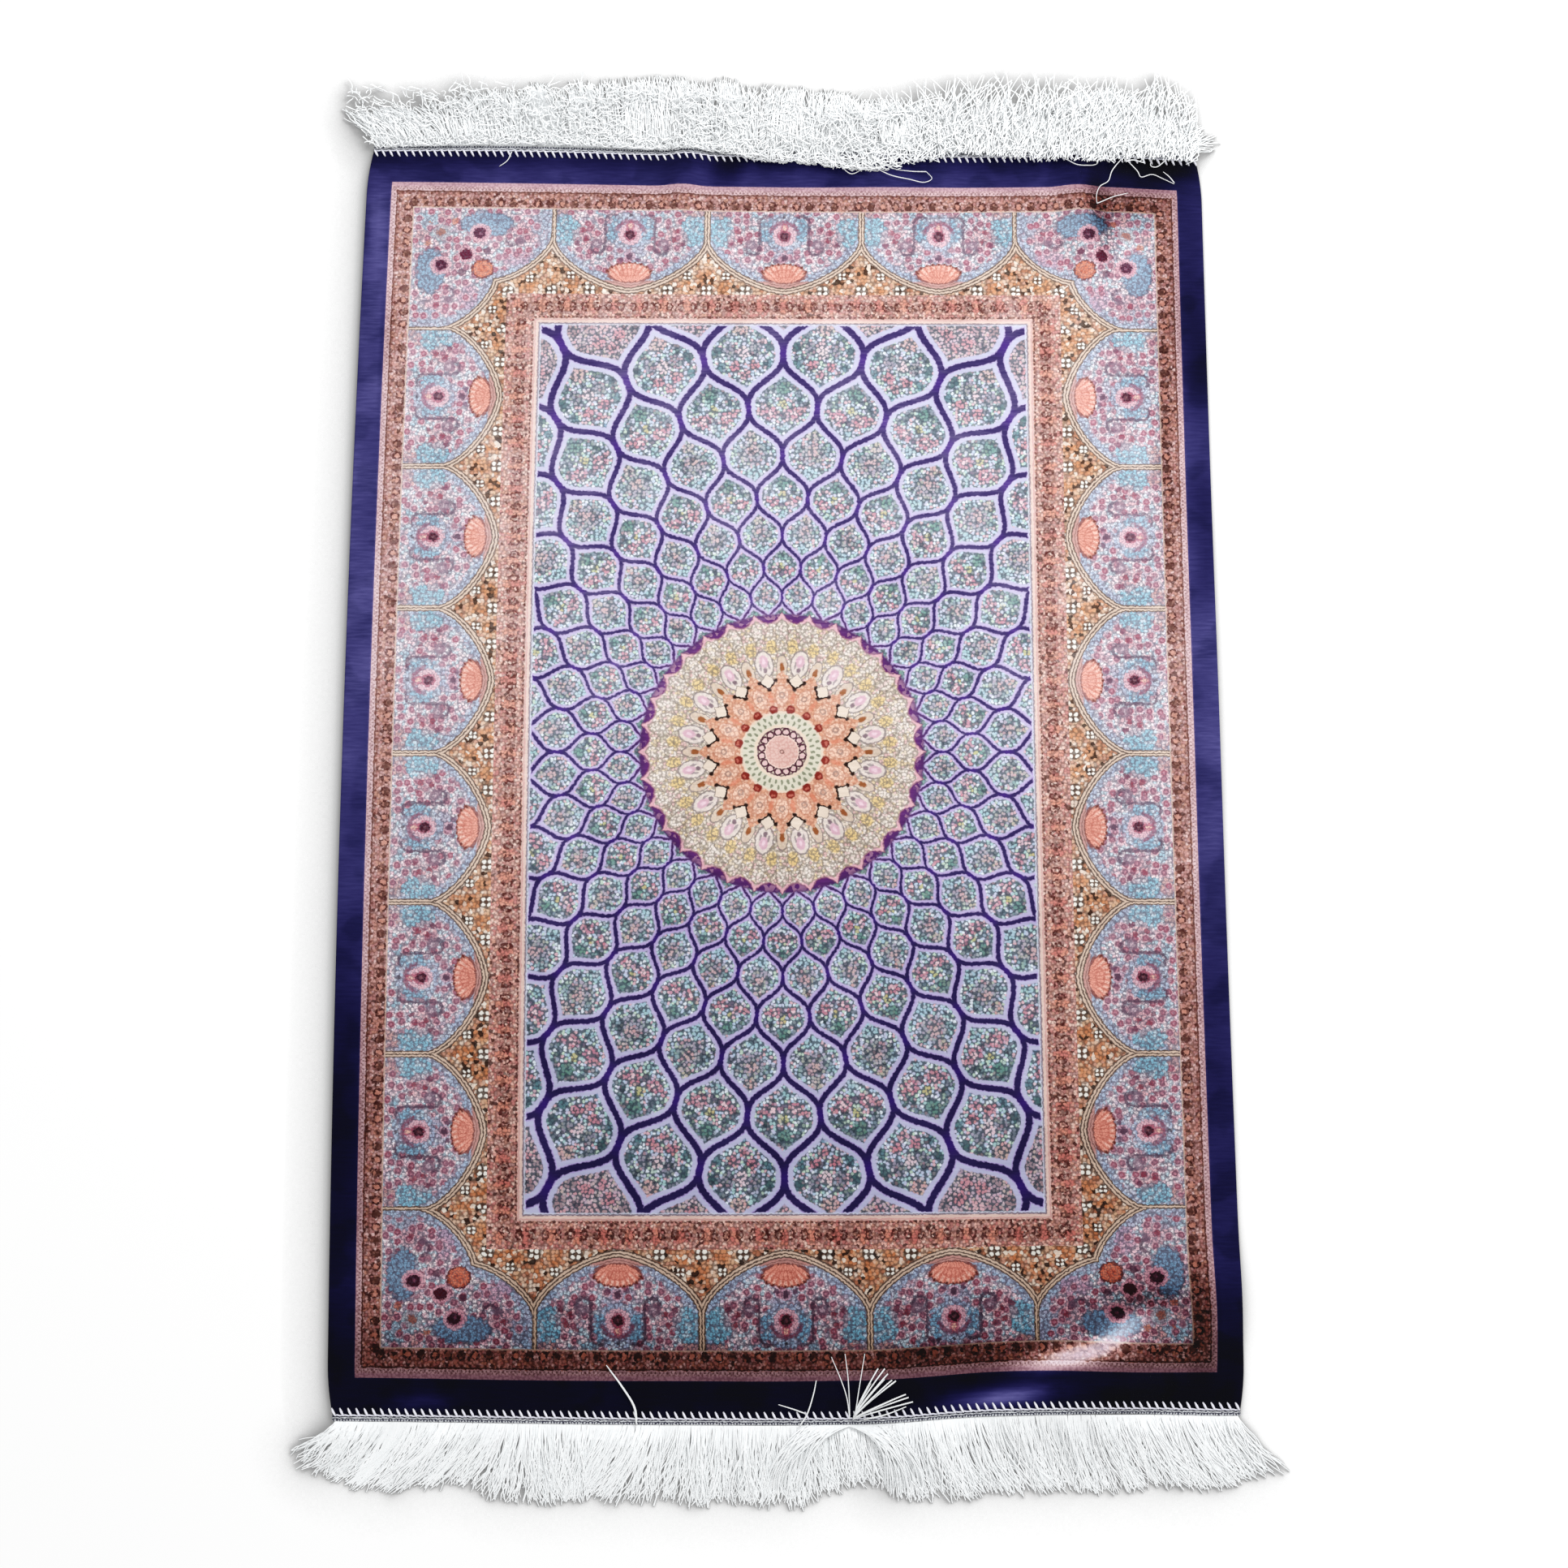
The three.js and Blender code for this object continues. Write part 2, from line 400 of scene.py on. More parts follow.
def finish_velvet_with_painted_light(d, painted_sheen="#d9cfe6", sheen=0.06):
    """Finishes a region as brushed velvet, with painted shade, painted highlight and painted sheen laid
    into its colour from the light level stored on the mesh.
    """
    tree = d.tree
    # The light level painted into the pile, stored on the mesh: 1 at rest.
    painted_light = Field(tree, add(tree, "Attribute", attribute_name="painted_light").outputs["Fac"])
    row_scale = (ROW_LENGTH / NAP_ROW, 1 / NAP_ROW, 0)
    stretched = add(tree, "VectorMath", [d.drawn, row_scale], operation="MULTIPLY").outputs[0]
    inputs = {"Vector": stretched, "Scale": 1.0, "Detail": 2.0}
    rows = Field(tree, add(tree, "TexNoise", inputs, noise_dimensions="2D").outputs[0])
    painted_light_level = rows * ROW_SPREAD + painted_light - ROW_SPREAD / 2
    # Painted shade: where the light level is low the dyes are deepened and darkened, and where it is high
    # they are paled as a painted highlight.
    depth = painted_light_level * -DEEPEST_PAINTED_SHADE + (1 + DEEPEST_PAINTED_SHADE)
    dye_in_painted_shade = add(tree, "Gamma", [d.colour, depth.work("MAXIMUM", PALEST_PAINTED_LIGHT)]).outputs[0]
    shaded = {0: dye_in_painted_shade, "Scale": (painted_light_level * PILE_PAINTED_SHADE + (1 - PILE_PAINTED_SHADE)).work("MINIMUM", 1.0)}
    dye_in_painted_shade = add(tree, "VectorMath", shaded, operation="SCALE").outputs[0]
    # Painted sheen: where the light level is over 1, a pale haze colour is mixed in.
    pale = (painted_light_level - 1) * PAINTED_SHEEN_GROWTH
    inputs = {0: pale.work("MINIMUM", MOST_PAINTED_SHEEN), 6: dye_in_painted_shade, 7: dye(painted_sheen)}
    with_painted_sheen = add(tree, "Mix", inputs, data_type="RGBA", clamp_factor=True).outputs[2]
    inputs = {"Vector": d.drawn, "Scale": 1 / TUFT, "Detail": 2.0}
    tufts = Field(tree, add(tree, "TexNoise", inputs, noise_dimensions="2D").outputs[0])
    bump = add(tree, "Bump", {"Height": rows + tufts, "Strength": 0.35, "Distance": 0.0003})
    inputs = {
        "Base Color": with_painted_sheen,
        "Roughness": 0.88,
        "Specular IOR Level": 0.1,
        "Sheen Weight": sheen,
        "Sheen Roughness": 0.45,
        "Normal": bump.outputs[0],
    }
    shader = add(tree, "BsdfPrincipled", inputs)
    add(tree, "OutputMaterial", [shader.outputs[0]])
    return d.material


# ------------------------------------------------------------------ the field and its medallion

FIELD_MIDDLE_V = 1
SPOKES = 64  # the lattice has a spoke every 5.625 degrees
SPOKE_STEP = math.tau / SPOKES
FIRST_RING = 289  # a ring of lattice knots has this radius, and the rings inside it close up
RING_GROWTH = 0.1475  # how much larger each ring is than the last, as the logarithm of the ratio
RING_BEND = 0.56  # and how that changes from ring to ring
CELL_GROWTH = 0.15  # the same ratio, across the outer cells
CELL_ASPECT = SPOKE_STEP / CELL_GROWTH  # a cell's width over its height
MEDALLION = 98  # the lattice ends at this radius
LATTICE_LINE = 0.0075  # half the width of a lattice line, and of the line with its pale margins,
LATTICE_MARGIN = 0.0195  # both as a share of the radius


class Lattice:
    """Where a place lies in the dome lattice of ogee cells."""

    def __init__(self, u, v):
        v = v - FIELD_MIDDLE_V
        self.r = (u * u + v * v).work("SQRT")
        self.spoke = u.work("ARCTAN2", v) / SPOKE_STEP
        inward = (self.r / FIRST_RING).work("LOGARITHM", math.e)
        ring = (inward * RING_BEND + 1 / RING_GROWTH) * inward
        self.rise = ring.work("FRACT")
        whole = ring - self.rise
        from_knot = abs(whole.folded(1) - self.spoke.folded(1))
        # An ogee that leaves both of its knots along the spoke, so that the lines run together there.
        ogee = (self.rise * math.tau).work("SINE").work("MULTIPLY_ADD", -1 / math.tau, self.rise)
        self.gap = from_knot - ogee
        outer = self.gap.work("GREATER_THAN", 0.0)
        self.x = abs(outer - from_knot) * CELL_ASPECT
        self.y = self.rise + outer - 1
        self.ring = whole - outer + 1


# Oval spots: across, along, half width, half length, colour, and how much of it covers the ground.
# Places in a cell are shares of its height.
SCROLL_CELL = [
    (0, 0.34, 0.13, 0.13, "#6d9c90", 0.8),
    (0, 0.06, 0.08, 0.09, "#cdc791", 0.8),
    (0.22, -0.12, 0.15, 0.13, "#cf8e9f", 0.8),
    (0.22, -0.12, 0.07, 0.06, "#f0dde2", 0.9),
    (0.4, -0.05, 0.07, 0.07, "#d7a2ae", 0.8),
    (0, -0.19, 0.06, 0.07, "#6f5c74", 0.8),
    (0, -0.42, 0.1, 0.1, "#9fc4cc", 0.6),
]
KNOP_CELL = [
    (0, 0.43, 0.13, 0.13, "#c9a79c", 0.5),
    (0, 0.05, 0.3, 0.26, "#a38b96", 0.5),
    (0.02, 0.12, 0.1, 0.1, "#e7c6c6", 0.6),
    (0, -0.42, 0.2, 0.16, "#b4d3dd", 0.7),
    (0.3, 0.16, 0.09, 0.12, "#7ba2a6", 0.5),
]
BIGGEST_CELL = [
    (0.3, 0.36, 0.09, 0.11, "#2f4c50", 0.6),
    (0.43, 0.12, 0.07, 0.1, "#4d7076", 0.85),
    (0.13, 0.56, 0.07, 0.08, "#35525a", 0.55),
    (0, 0.46, 0.14, 0.13, "#ddb8b4", 0.7),
    (0.2, 0.1, 0.1, 0.14, "#8a7c8c", 0.6),
    (0, 0.05, 0.1, 0.12, "#ecd7dc", 0.8),
    (0.16, -0.2, 0.1, 0.09, "#d795a2", 0.8),
    (0, -0.36, 0.09, 0.08, "#d795a2", 0.7),
    (0.4, -0.18, 0.07, 0.09, "#5f8a94", 0.8),
    (0, -0.6, 0.07, 0.07, "#5f8fae", 0.7),
]


def fill_cells(d, knots, cell):
    """The small gardens in the lattice cells, knotted spot by spot."""
    place = d.point(cell.x, cell.y)
    knots.tinted(["#c2dcdd", "#eaf0f6", "#e4c8d0", "#cddcec", "#d2e2d6", "#d8d8ea"])
    biggest = cell.ring.above(-0.5, 0.1)
    turns = cell.ring.folded(1)
    scrolls = turns.above(0.5, 0.1) * (1 - biggest)
    knops = turns.below(0.5, 0.1) * (1 - biggest)
    upper = cell.y.above(0.1, 0.04)
    top_arch = d.oval(place, 0, 0.18, 0.3).near(1, 0.17, 0.12)
    d.lay("#3f5a66", top_arch, upper, scrolls, 0.55)
    curl = d.oval(place, 0.39, 0.17, 0.09).near(1, 0.36, 0.3)
    d.lay("#33505a", curl, cell.y.below(0.2, 0.05), scrolls, 0.6)
    d.spots(place, SCROLL_CELL, scrolls)
    d.spots(place, KNOP_CELL, knops)
    d.spots(place, BIGGEST_CELL, biggest)
    d.lay("#ddb3ba", cell.ring.above(0.5, 0.1), 0.55)


def dye_field():
    """The dome lattice: ogee cells that shrink towards the medallion, each with a small garden."""
    d = Dyeing("velvet_pile_field", "#d3d9ea")
    knots = d.knots(FIELD_KNOT)
    fill_cells(d, knots, Lattice(knots.u, knots.v))
    knots.outlined("#5a6876", 0.8)
    d.lay("#4c5260", knots.tone.above(0.93, 0.02), 0.6)

    # Pale margins along the lattice, and in a cell's two tips.
    cell = Lattice(d.u, d.v)
    lean = (cell.rise * math.pi).work("SINE").work("POWER", 2.0) * (2 * CELL_ASPECT)
    from_line = abs(cell.gap) * SPOKE_STEP * cell.r / (lean * lean + 1).work("SQRT")
    margin = (from_line - cell.r * LATTICE_MARGIN).below(0, 0.9)
    margin = margin.work("MAXIMUM", abs(cell.y).above(0.76, 0.06))
    outer_tint = cell.r.above(190, 120)
    d.lay("#cbbfe2", margin)
    d.lay("#d3d9e8", margin, outer_tint, 0.65)
    line = cell.r * LATTICE_LINE
    d.lay("#c9b4e6", (from_line - line).below(0.6, 1.0), 0.8)

    # The lattice itself, brighter violet at its knots and redder next to the medallion.
    at_edge = cell.r.below(MEDALLION + 1, 14)
    drawn = (from_line - line).below(0, 0.7)
    inside = abs(d.u).below(INNER_GUARD[0] - 2.2, 0.6) * abs(d.v).below(INNER_GUARD[1] - 1.9, 0.6)
    drawn = drawn.work("MAXIMUM", cell.r.below(MEDALLION, 1.5)) * inside
    d.lay("#43356f", drawn)
    d.lay("#553393", drawn, abs(cell.rise - 0.5).above(0.38, 0.2), 0.8)
    d.lay("#6d2f72", drawn, at_edge, 0.85)
    d.lay("#c79ab4", knots.tone.above(0.7, 0.05), cell.r.below(MEDALLION - 1, 3), 0.55)
    dye_medallion(d, cell)
    frame_line = abs(d.v) - INNER_GUARD[1]
    frame_line = frame_line.work("MAXIMUM", abs(d.u) - INNER_GUARD[0])
    d.lay("#dfe3ee", frame_line.above(-1.7, 0.6), 0.8)
    d.lay("#8b7480", frame_line.near(-0.4, 0.45, 0.5), 0.7)
    return finish_velvet_with_painted_light(d)


PETAL_HEART = [
    (0, 65, 3.0, 4.6, "#dcb2c6", 0.75),
    (0, 65, 1.1, 2.0, "#f4dfe8", 0.8),
    (2.9, 61.5, 0.8, 2.6, "#9b8b92", 0.7),
    (0, 58.6, 1.5, 1.8, "#7c6070", 0.85),
]


def dye_medallion(d, cell):
    """The sunburst at the middle of the field, built in rings from the outside in."""
    r = cell.r
    arc = r * SPOKE_STEP
    fourth = cell.spoke.folded(2)
    to_ray = cell.spoke.folded(1)
    ray = d.point(to_ray * arc, r)
    between_rays = d.point((1 - to_ray) * arc, r)
    spike = d.point(fourth * arc, r)
    petal = d.point((2 - fourth) * arc, r)

    # The toothed rim: a pink point on each ray, and scallops between them.
    scallop = (1 - (to_ray * arc / 9).work("MINIMUM", 1.0)).work("POWER", 2.0)
    rim = r - scallop * 7.5
    inside = rim.below(91.3, 0.9)
    d.lay("#ece0d4", inside)
    knots = d.knots(GUARD_KNOT)
    knots.tinted(["#f0e8e2", "#e6d3b2", "#d9c8bf", "#efe6dc", "#e5c4c2", "#cfc8b8"], inside, 0.9)
    d.lay("#ecd39a", d.oval(d.point(abs(fourth - 1) * arc, r), 0, 74.8, 3.8, 5.0).below(1, 0.3), 0.85)
    d.lay("#f0eae6", d.oval(ray, 0, 86, 3.6, 6.5).below(1, 0.3), inside, 0.5)
    knots.outlined("#877b70", 0.6, inside)
    d.lay("#e7b9c6", rim.above(87.5, 2.5), r.above(92, 2), inside, 0.9)
    d.lay("#8c4f74", rim.near(91.5, 0.7, 0.9), 0.7)
    for place, along, width, length in (
        (ray, 86, 4.4, 7.5),
        (between_rays, 81, 4.0, 6.0),
        (ray, 75.5, 3.7, 5.5),
        (between_rays, 70, 3.4, 5.0),
    ):
        rim_line = d.oval(place, 0, along, width, length).near(1, 0.07, 0.14)
        d.lay("#8b7f78", rim_line, r.above(along - 2, 2.0), inside, 0.7)

    # White petals with pink hearts, and brown-tipped spikes between them.
    for place, along, width, length, fill in (
        (petal, 63, 6.2, 9.6, "#ece3de"),
        (spike, 60.5, 3.9, 8.2, "#e0cfbf"),
    ):
        shape = d.oval(place, 0, along, width, length)
        d.lay(fill, shape.below(1, 0.15), 0.8)
        d.lay("#85787a", shape.near(1, 0.06, 0.12), r.above(52, 1), 0.85)
    d.spots(petal, PETAL_HEART)
    d.lay("#a4653d", d.oval(spike, 0, 59.6, 1.8, 3.2).below(1, 0.4))

    # The salmon star, with a pale leaf on each ray of it.
    star = (fourth * arc * 1.15 + r).below(57.5, 0.8)
    d.lay("#dfab92", star)
    knots.tinted(["#e8c2aa", "#dba183", "#eccdba"], star, 0.75)
    leaf = d.oval(spike, 0, 39.5, 4.6, 7.6)
    d.lay("#f3d5c3", leaf.below(1, 0.2), 0.8)
    d.lay("#c98a70", leaf.near(1, 0.07, 0.14), 0.75)
    knots.outlined("#b87a62", 0.55, star)
    d.lay("#a98a80", d.oval(spike, 0, 40, 1.7).near(1, 0.35, 0.4), 0.8)
    d.lay("#dc8468", d.oval(petal, 0, 38.5, 1.6, 4.4).below(1, 0.5), 0.6)

    # Kites with dark lower edges and dark beads at three corners.
    kite = (2 - fourth) * arc + abs(r - 50.4)
    d.lay("#e9dccf", kite.below(5.4, 0.6))
    d.lay("#97877e", kite.near(5.5, 0.35, 0.5), 0.8)
    d.lay("#2e1812", kite.near(5.5, 0.75, 0.5), r.below(50.9, 1.0))
    corners = [(5.7, 50.7, 1.3, 1.5, "#2e1812", 1.0), (0, 44.8, 1.5, 1.4, "#2e1812", 1.0)]
    d.spots(petal, corners)

    # Red dots, a ring of green-grey dashes, a ring of dark beads and the pink heart.
    d.lay("#e6d5c4", r.below(28.6, 0.7))
    d.lay("#8b2c23", d.oval(petal, 0, 30.3, 3.0).below(1, 0.3))
    d.lay("#cf7766", d.oval(petal, 0.7, 31, 0.9).below(1, 0.6), 0.7)
    d.lay("#dad6c6", r.near(23.2, 3.9, 0.6))
    dash = d.oval(ray, 0, 21.3, 0.85, 1.7).below(1, 0.5)
    dash = dash.work("MAXIMUM", d.oval(between_rays, 0, 25.2, 0.95, 1.5).below(1, 0.5))
    d.lay("#7d8268", dash, 0.85)
    bead = d.oval(petal, 0, 14.2, 2.35)
    d.lay("#55263a", bead.near(1, 0.26, 0.2))
    d.lay("#55263a", r.near(16.6, 0.5, 0.6), 0.8)
    d.lay("#e3c1c4", bead.below(0.62, 0.25))
    d.lay("#e3c2ba", r.below(11.6, 0.7))
    knots.outlined("#cf9c94", 0.55, r.below(11.4, 0.7))
    d.lay("#f6dcd2", r.near(11.3, 0.35, 0.5), 0.8)
    d.lay("#7c4a44", r.near(1.2, 0.4, 0.5), 0.8)


# ------------------------------------------------------------------ the guards, stripe and band


def past_frame(at, inner):
    """How far out from a frame's inner edge a place is, and whether it is on one of the long sides."""
    past_side = abs(at.u) - inner[0]
    past_end = abs(at.v) - inner[1]
    on_side = (past_side - past_end).work("GREATER_THAN", 0.0)
    return past_side.work("MAXIMUM", past_end), on_side


def around(at, inner):
    """How far out from a border's inner edge a place is, and how far along its side."""
    out, on_side = past_frame(at, inner)
    return out, at.u + (at.v - at.u) * on_side


BUD_PITCH = 17.2  # from bud to bud along the inner guard
KNOP_PITCH = 8.9  # from knop to knop along the outer guard


def dye_inner_guard():
    """A rosy guard: orange buds between dark buckles, and a cream line next to the field."""
    d = Dyeing("velvet_pile_inner_guard", "#dcb1a2")
    knots = d.knots(GUARD_KNOT)
    out, along = around(knots, INNER_GUARD)
    knots.tinted(["#ecc9bf", "#d49c98", "#e2b6ae", "#c9a8a4", "#eed6cd"])
    bud = d.point(along.folded(BUD_PITCH / 2), out)
    rosy = d.cloud(14)
    d.spots(bud, [(0, 13.8, 3.2, 5.6, "#e4a692", 0.75)])
    d.lay("#d8948e", d.oval(bud, 0, 13.8, 3.0, 5.4).below(1, 0.3), rosy.above(0.53, 0.06), 0.85)
    d.lay("#b6908a", along.folded(BUD_PITCH / 2).above(6.6, 1.5), out.below(20, 2), 0.4)
    knots.outlined("#8a6058", 0.6)
    d.lay("#53241e", knots.tone.above(0.93, 0.02), 0.75)
    fine = d.knots(MOTIF_KNOT)
    out, along = around(fine, INNER_GUARD)
    buckle = d.oval(d.point((along + BUD_PITCH / 4).folded(BUD_PITCH / 4), out), 0, 12.6, 2.0, 3.1)
    d.lay("#642824", buckle.near(1, 0.25, 0.25), 0.85)
    d.lay("#4c1d18", buckle.below(0.35, 0.2), 0.6)
    out, along = around(d, INNER_GUARD)
    d.lay("#6a3c38", out.near(4.6, 0.45, 0.5), along.folded(1.5).below(0.9, 0.5), 0.85)
    d.lay("#ead6cf", out.below(3.4, 0.6))
    d.lay("#d9a9a8", out.near(2.6, 0.4, 0.6), 0.7)
    d.lay("#8b7480", out.below(0.3, 0.5), 0.7)
    return finish_velvet_with_painted_light(d)


def dye_outer_guard():
    """A rust guard with dark knops in a row, and a pale pink stripe outside it."""
    d = Dyeing("velvet_pile_outer_guard", "#d2a799")
    knots = d.knots(GUARD_KNOT)
    out, along = around(knots, OUTER_GUARD)
    knots.tinted(["#e8cecc", "#ca9a98", "#debcb8", "#ccaaaa"])
    warm = d.cloud(9)
    d.lay("#cf9e94", warm.above(0.58, 0.04), 0.6)
    d.lay("#bd908c", warm.below(0.43, 0.05), 0.5)
    knots.outlined("#84564c", 0.6)
    d.lay("#4f1d17", knots.tone.above(0.93, 0.02), 0.75)
    fine = d.knots(MOTIF_KNOT)
    out, along = around(fine, OUTER_GUARD)
    place = d.point(along.folded(KNOP_PITCH / 2), out)
    own = ((along / KNOP_PITCH).work("ROUND") * 0.618).work("FRACT")
    knop = d.oval(place, 0, 4.3, 2.3, 2.8)
    d.lay("#dca898", knop.below(0.8, 0.3), 0.75)
    d.lay("#5a2420", knop.near(1, 0.25, 0.25), own.above(0.12, 0.05), 0.85)
    d.lay("#4c1d18", d.oval(place, 0.4, 4.0, 1.3, 1.6).below(1, 0.5), own.below(0.55, 0.05), 0.8)
    out, along = around(d, OUTER_GUARD)
    d.lay("#e0d0c6", out.below(0.9, 0.6), 0.7)
    d.lay("#6d3f38", out.near(12.6, 0.5, 0.6), 0.85)
    d.lay("#74372e", d.oval(d.point(along.folded(2.6), out), 0, 11.2, 0.9).below(1, 0.6), 0.7)
    fray = (knots.tone - 0.5) * 0.9 + out
    d.lay("#e0c6ca", fray.above(13.3, 0.5))
    d.lay("#f0dfe0", fray.near(14.4, 0.5, 0.8), 0.35)
    knots.outlined("#a58088", 0.45, fray.above(13.6, 0.5))
    d.lay("#b58aa4", fray.above(16.7, 0.7), 0.3)
    nicks = d.point(along.folded(1.35), out)
    d.lay("#7e4c4a", d.oval(nicks, 0, 14.5, 0.55, 0.7).below(1, 0.6), 0.55)
    d.lay("#8c5a5c", d.oval(nicks, 1.35, 15.9, 0.5, 0.6).below(1, 0.6), 0.4)
    return finish_velvet_with_painted_light(d)


def dye_band():
    """The plain violet band round the outside."""
    d = Dyeing("velvet_pile_violet_band", "#3c3974")
    drift = d.cloud(26)
    d.lay("#312f67", drift.above(0.55, 0.12))
    out, _ = past_frame(d, VIOLET_BAND)
    d.lay("#6f5f92", out.below(0.5, 1.0), 0.6)
    # The band's painted sheen is violet, and its shader has no sheen of its own.
    return finish_velvet_with_painted_light(d, painted_sheen="#7f78c8", sheen=0.0)


# ------------------------------------------------------------------ the main border

END_PITCH = 111  # the arches along an end, from pillar to pillar
SIDE_PITCH = 103  # the arches along a side are narrower, and stand deeper by the next value
SIDE_STEP = 4
CLUSTER_PITCH = END_PITCH / 4


class Arcade:
    """Where a place lies in the row of arches: across from the arch's middle, and up from its foot."""

    def __init__(self, d, at):
        depth, on_side = past_frame(at, OUTER_GUARD)
        self.up = -SIDE_STEP * on_side - depth
        on_end = abs(at.u).folded(END_PITCH / 2)
        up_side = END_PITCH / 2 - abs(at.v).folded(SIDE_PITCH / 2) * (END_PITCH / SIDE_PITCH)
        self.across = on_end + (up_side - on_end) * on_side
        self.place = d.point(self.across, self.up)

    def edge(self):
        return arch_edge(self.across, self.up)


ARCH = {"half_width": 53.2, "spring": 24, "rise": 36}
ARCH_ROUNDNESS = 1.5  # 1 is a straight gable and 2 is an ellipse
ARCH_LINE = 4.6  # the width of the line round it
LEAST_SLOPE = 0.012  # keeps the distance to the line finite well inside the arch


def arch_edge(across, up, half_width=ARCH["half_width"]):
    """How far outside an arch's line a place is, in millimetres near the line."""
    out = across.work("MAXIMUM", 0.0) / half_width
    risen = (up - ARCH["spring"]).work("MAXIMUM", 0.0) / ARCH["rise"]
    side_slope = out.work("POWER", ARCH_ROUNDNESS - 1) * (ARCH_ROUNDNESS / half_width)
    rise_slope = risen.work("POWER", ARCH_ROUNDNESS - 1) * (ARCH_ROUNDNESS / ARCH["rise"])
    slope = (side_slope * side_slope + rise_slope * rise_slope).work("SQRT")
    past = out.work("POWER", ARCH_ROUNDNESS) + risen.work("POWER", ARCH_ROUNDNESS) - 1
    return past / slope.work("MAXIMUM", LEAST_SLOPE)


CORNER_SIZE = (101, 92)  # a corner block's width and length, inside the outer guard


class Corner:
    """Where a place lies in a corner block folded over its diagonal: how far in it is from the farther
    and the nearer of the guard's two sides."""

    def __init__(self, d, at):
        in_side = OUTER_GUARD[0] + 1 - abs(at.u)
        in_end = (OUTER_GUARD[1] + 1 - abs(at.v)) * (CORNER_SIZE[0] / CORNER_SIZE[1])
        self.far_in = in_side.work("MAXIMUM", in_end)
        self.near_in = in_side.work("MINIMUM", in_end)
        self.place = d.point(self.far_in, self.near_in)

    def edge(self):
        """The same arch, with its crown on the fold."""
        crown = ARCH["spring"] + ARCH["rise"]
        half_width = OUTER_GUARD[0] - CORNER_BLOCK[0] - crown
        return arch_edge(self.far_in - crown, self.near_in, half_width)


GARDEN = ["#f8ecef", "#e0ebf2", "#fff8fa", "#f9dfe6", "#d9e9f0", "#fbe5eb"]
GOLD = ["#e6cfbe", "#d8a88a", "#e2c4ae", "#ecdfd4", "#c8947a", "#d8b09e"]


def grow_flowers(d, size, calm):
    """Small rose and mauve flowers, a size apart, that leave calm parts alone."""
    flowers = d.knots(size, 0.7)
    open_ground = (1 - calm) * flowers.tint.above(0.2, 0.05)
    d.lay("#ecc6ce", flowers.away.below(0.42, 0.07), open_ground, 0.65)
    d.lay("#a46e84", flowers.away.below(0.3, 0.06), open_ground, 0.8)
    d.lay("#c46c7e", flowers.away.below(0.3, 0.06), open_ground, flowers.tone.below(0.3, 0.05), 0.4)
    d.lay("#dcaab8", flowers.away.below(0.13, 0.06), open_ground, 0.75)


def lay_gold(d, knots, outside, warm, up, clusters):
    """The gold mosaic outside the arches, with white four-petalled flowers in it."""
    d.lay("#e2c4aa", outside)
    knots.tinted(GOLD, outside)
    d.lay("#dc9c6e", warm, outside, 0.6)
    knots.outlined("#7d5c4c", 0.62, outside)
    d.lay("#33201a", knots.tone.above(0.9, 0.02), outside, 0.85)
    d.lay("#f8f4ec", knots.tone.below(0.08, 0.02), outside, 0.7)
    for lateral, along, size in clusters:
        petals = d.point(abs(lateral), abs(up - along))
        d.lay("#55453e", d.oval(petals, 0, 0, 4.9 * size).below(1, 0.25), outside, 0.75)
        d.lay("#f5f3ee", d.oval(petals, 2.0 * size, 2.0 * size, 1.45 * size).below(1, 0.4), outside)


def draw_arch_line(d, edge):
    """The line round an arch: cream, with a dark edge on both sides and one down its middle."""
    d.lay("#e2d0c2", edge.near(ARCH_LINE / 2, ARCH_LINE / 2, 0.5))
    for middle in (0.3, ARCH_LINE / 2, 4.4):
        d.lay("#5c443c", edge.near(middle, 0.42, 0.5), 0.85)


ARCH_BEDS = [
    (45, 16, 8.5, 12.0, "#a6d4e4", 0.9),
    (0, 16, 17.0, 15.0, "#c2d4e8", 0.75),
    (12.4, 14, 5.6, 9.5, "#a2cce0", 0.8),
    (20, 2.5, 5.0, 3.0, "#b9d8e6", 0.8),
    (0, 33, 12.0, 7.0, "#c3cbe0", 0.6),
    (33, 21, 9.0, 8.0, "#e9b9bd", 0.55),
    (46, 0, 8.0, 5.0, "#d9aaa4", 0.7),
]
ARCH_FLOWERS = [
    (24, 26, 4.6, 4.0, "#9c8093", 0.8),
    (24, 26, 1.8, 1.5, "#e6d3dc", 0.7),
    (31.5, 23, 2.0, 2.0, "#a04a60", 0.85),
    (33.5, 16, 2.1, 2.1, "#a8566a", 0.8),
    (38, 26, 2.2, 2.2, "#8c4c68", 0.8),
    (27, 13, 1.8, 1.8, "#9c5a70", 0.7),
    (0, 18.6, 8.4, 8.4, "#f2ccd4", 0.85),
    (0, 12.4, 3.0, 3.8, "#c06a80", 0.75),
    (0, 18.8, 4.9, 4.9, "#bd6c82", 0.85),
    (0, 19.0, 3.5, 3.5, "#5c2638", 1.0),
    (0, 19.2, 1.2, 1.2, "#b08088", 0.6),
    (0, 12.0, 1.4, 2.3, "#f3d2c6", 0.9),
    (0, 36, 4.2, 4.0, "#e3bccb", 0.7),
    (0, 36, 2.4, 2.6, "#65425c", 0.85),
    (6.2, 38.4, 1.8, 1.8, "#875f7a", 0.8),
    (0, 4, 1.3, 1.3, "#4d3540", 0.7),
]


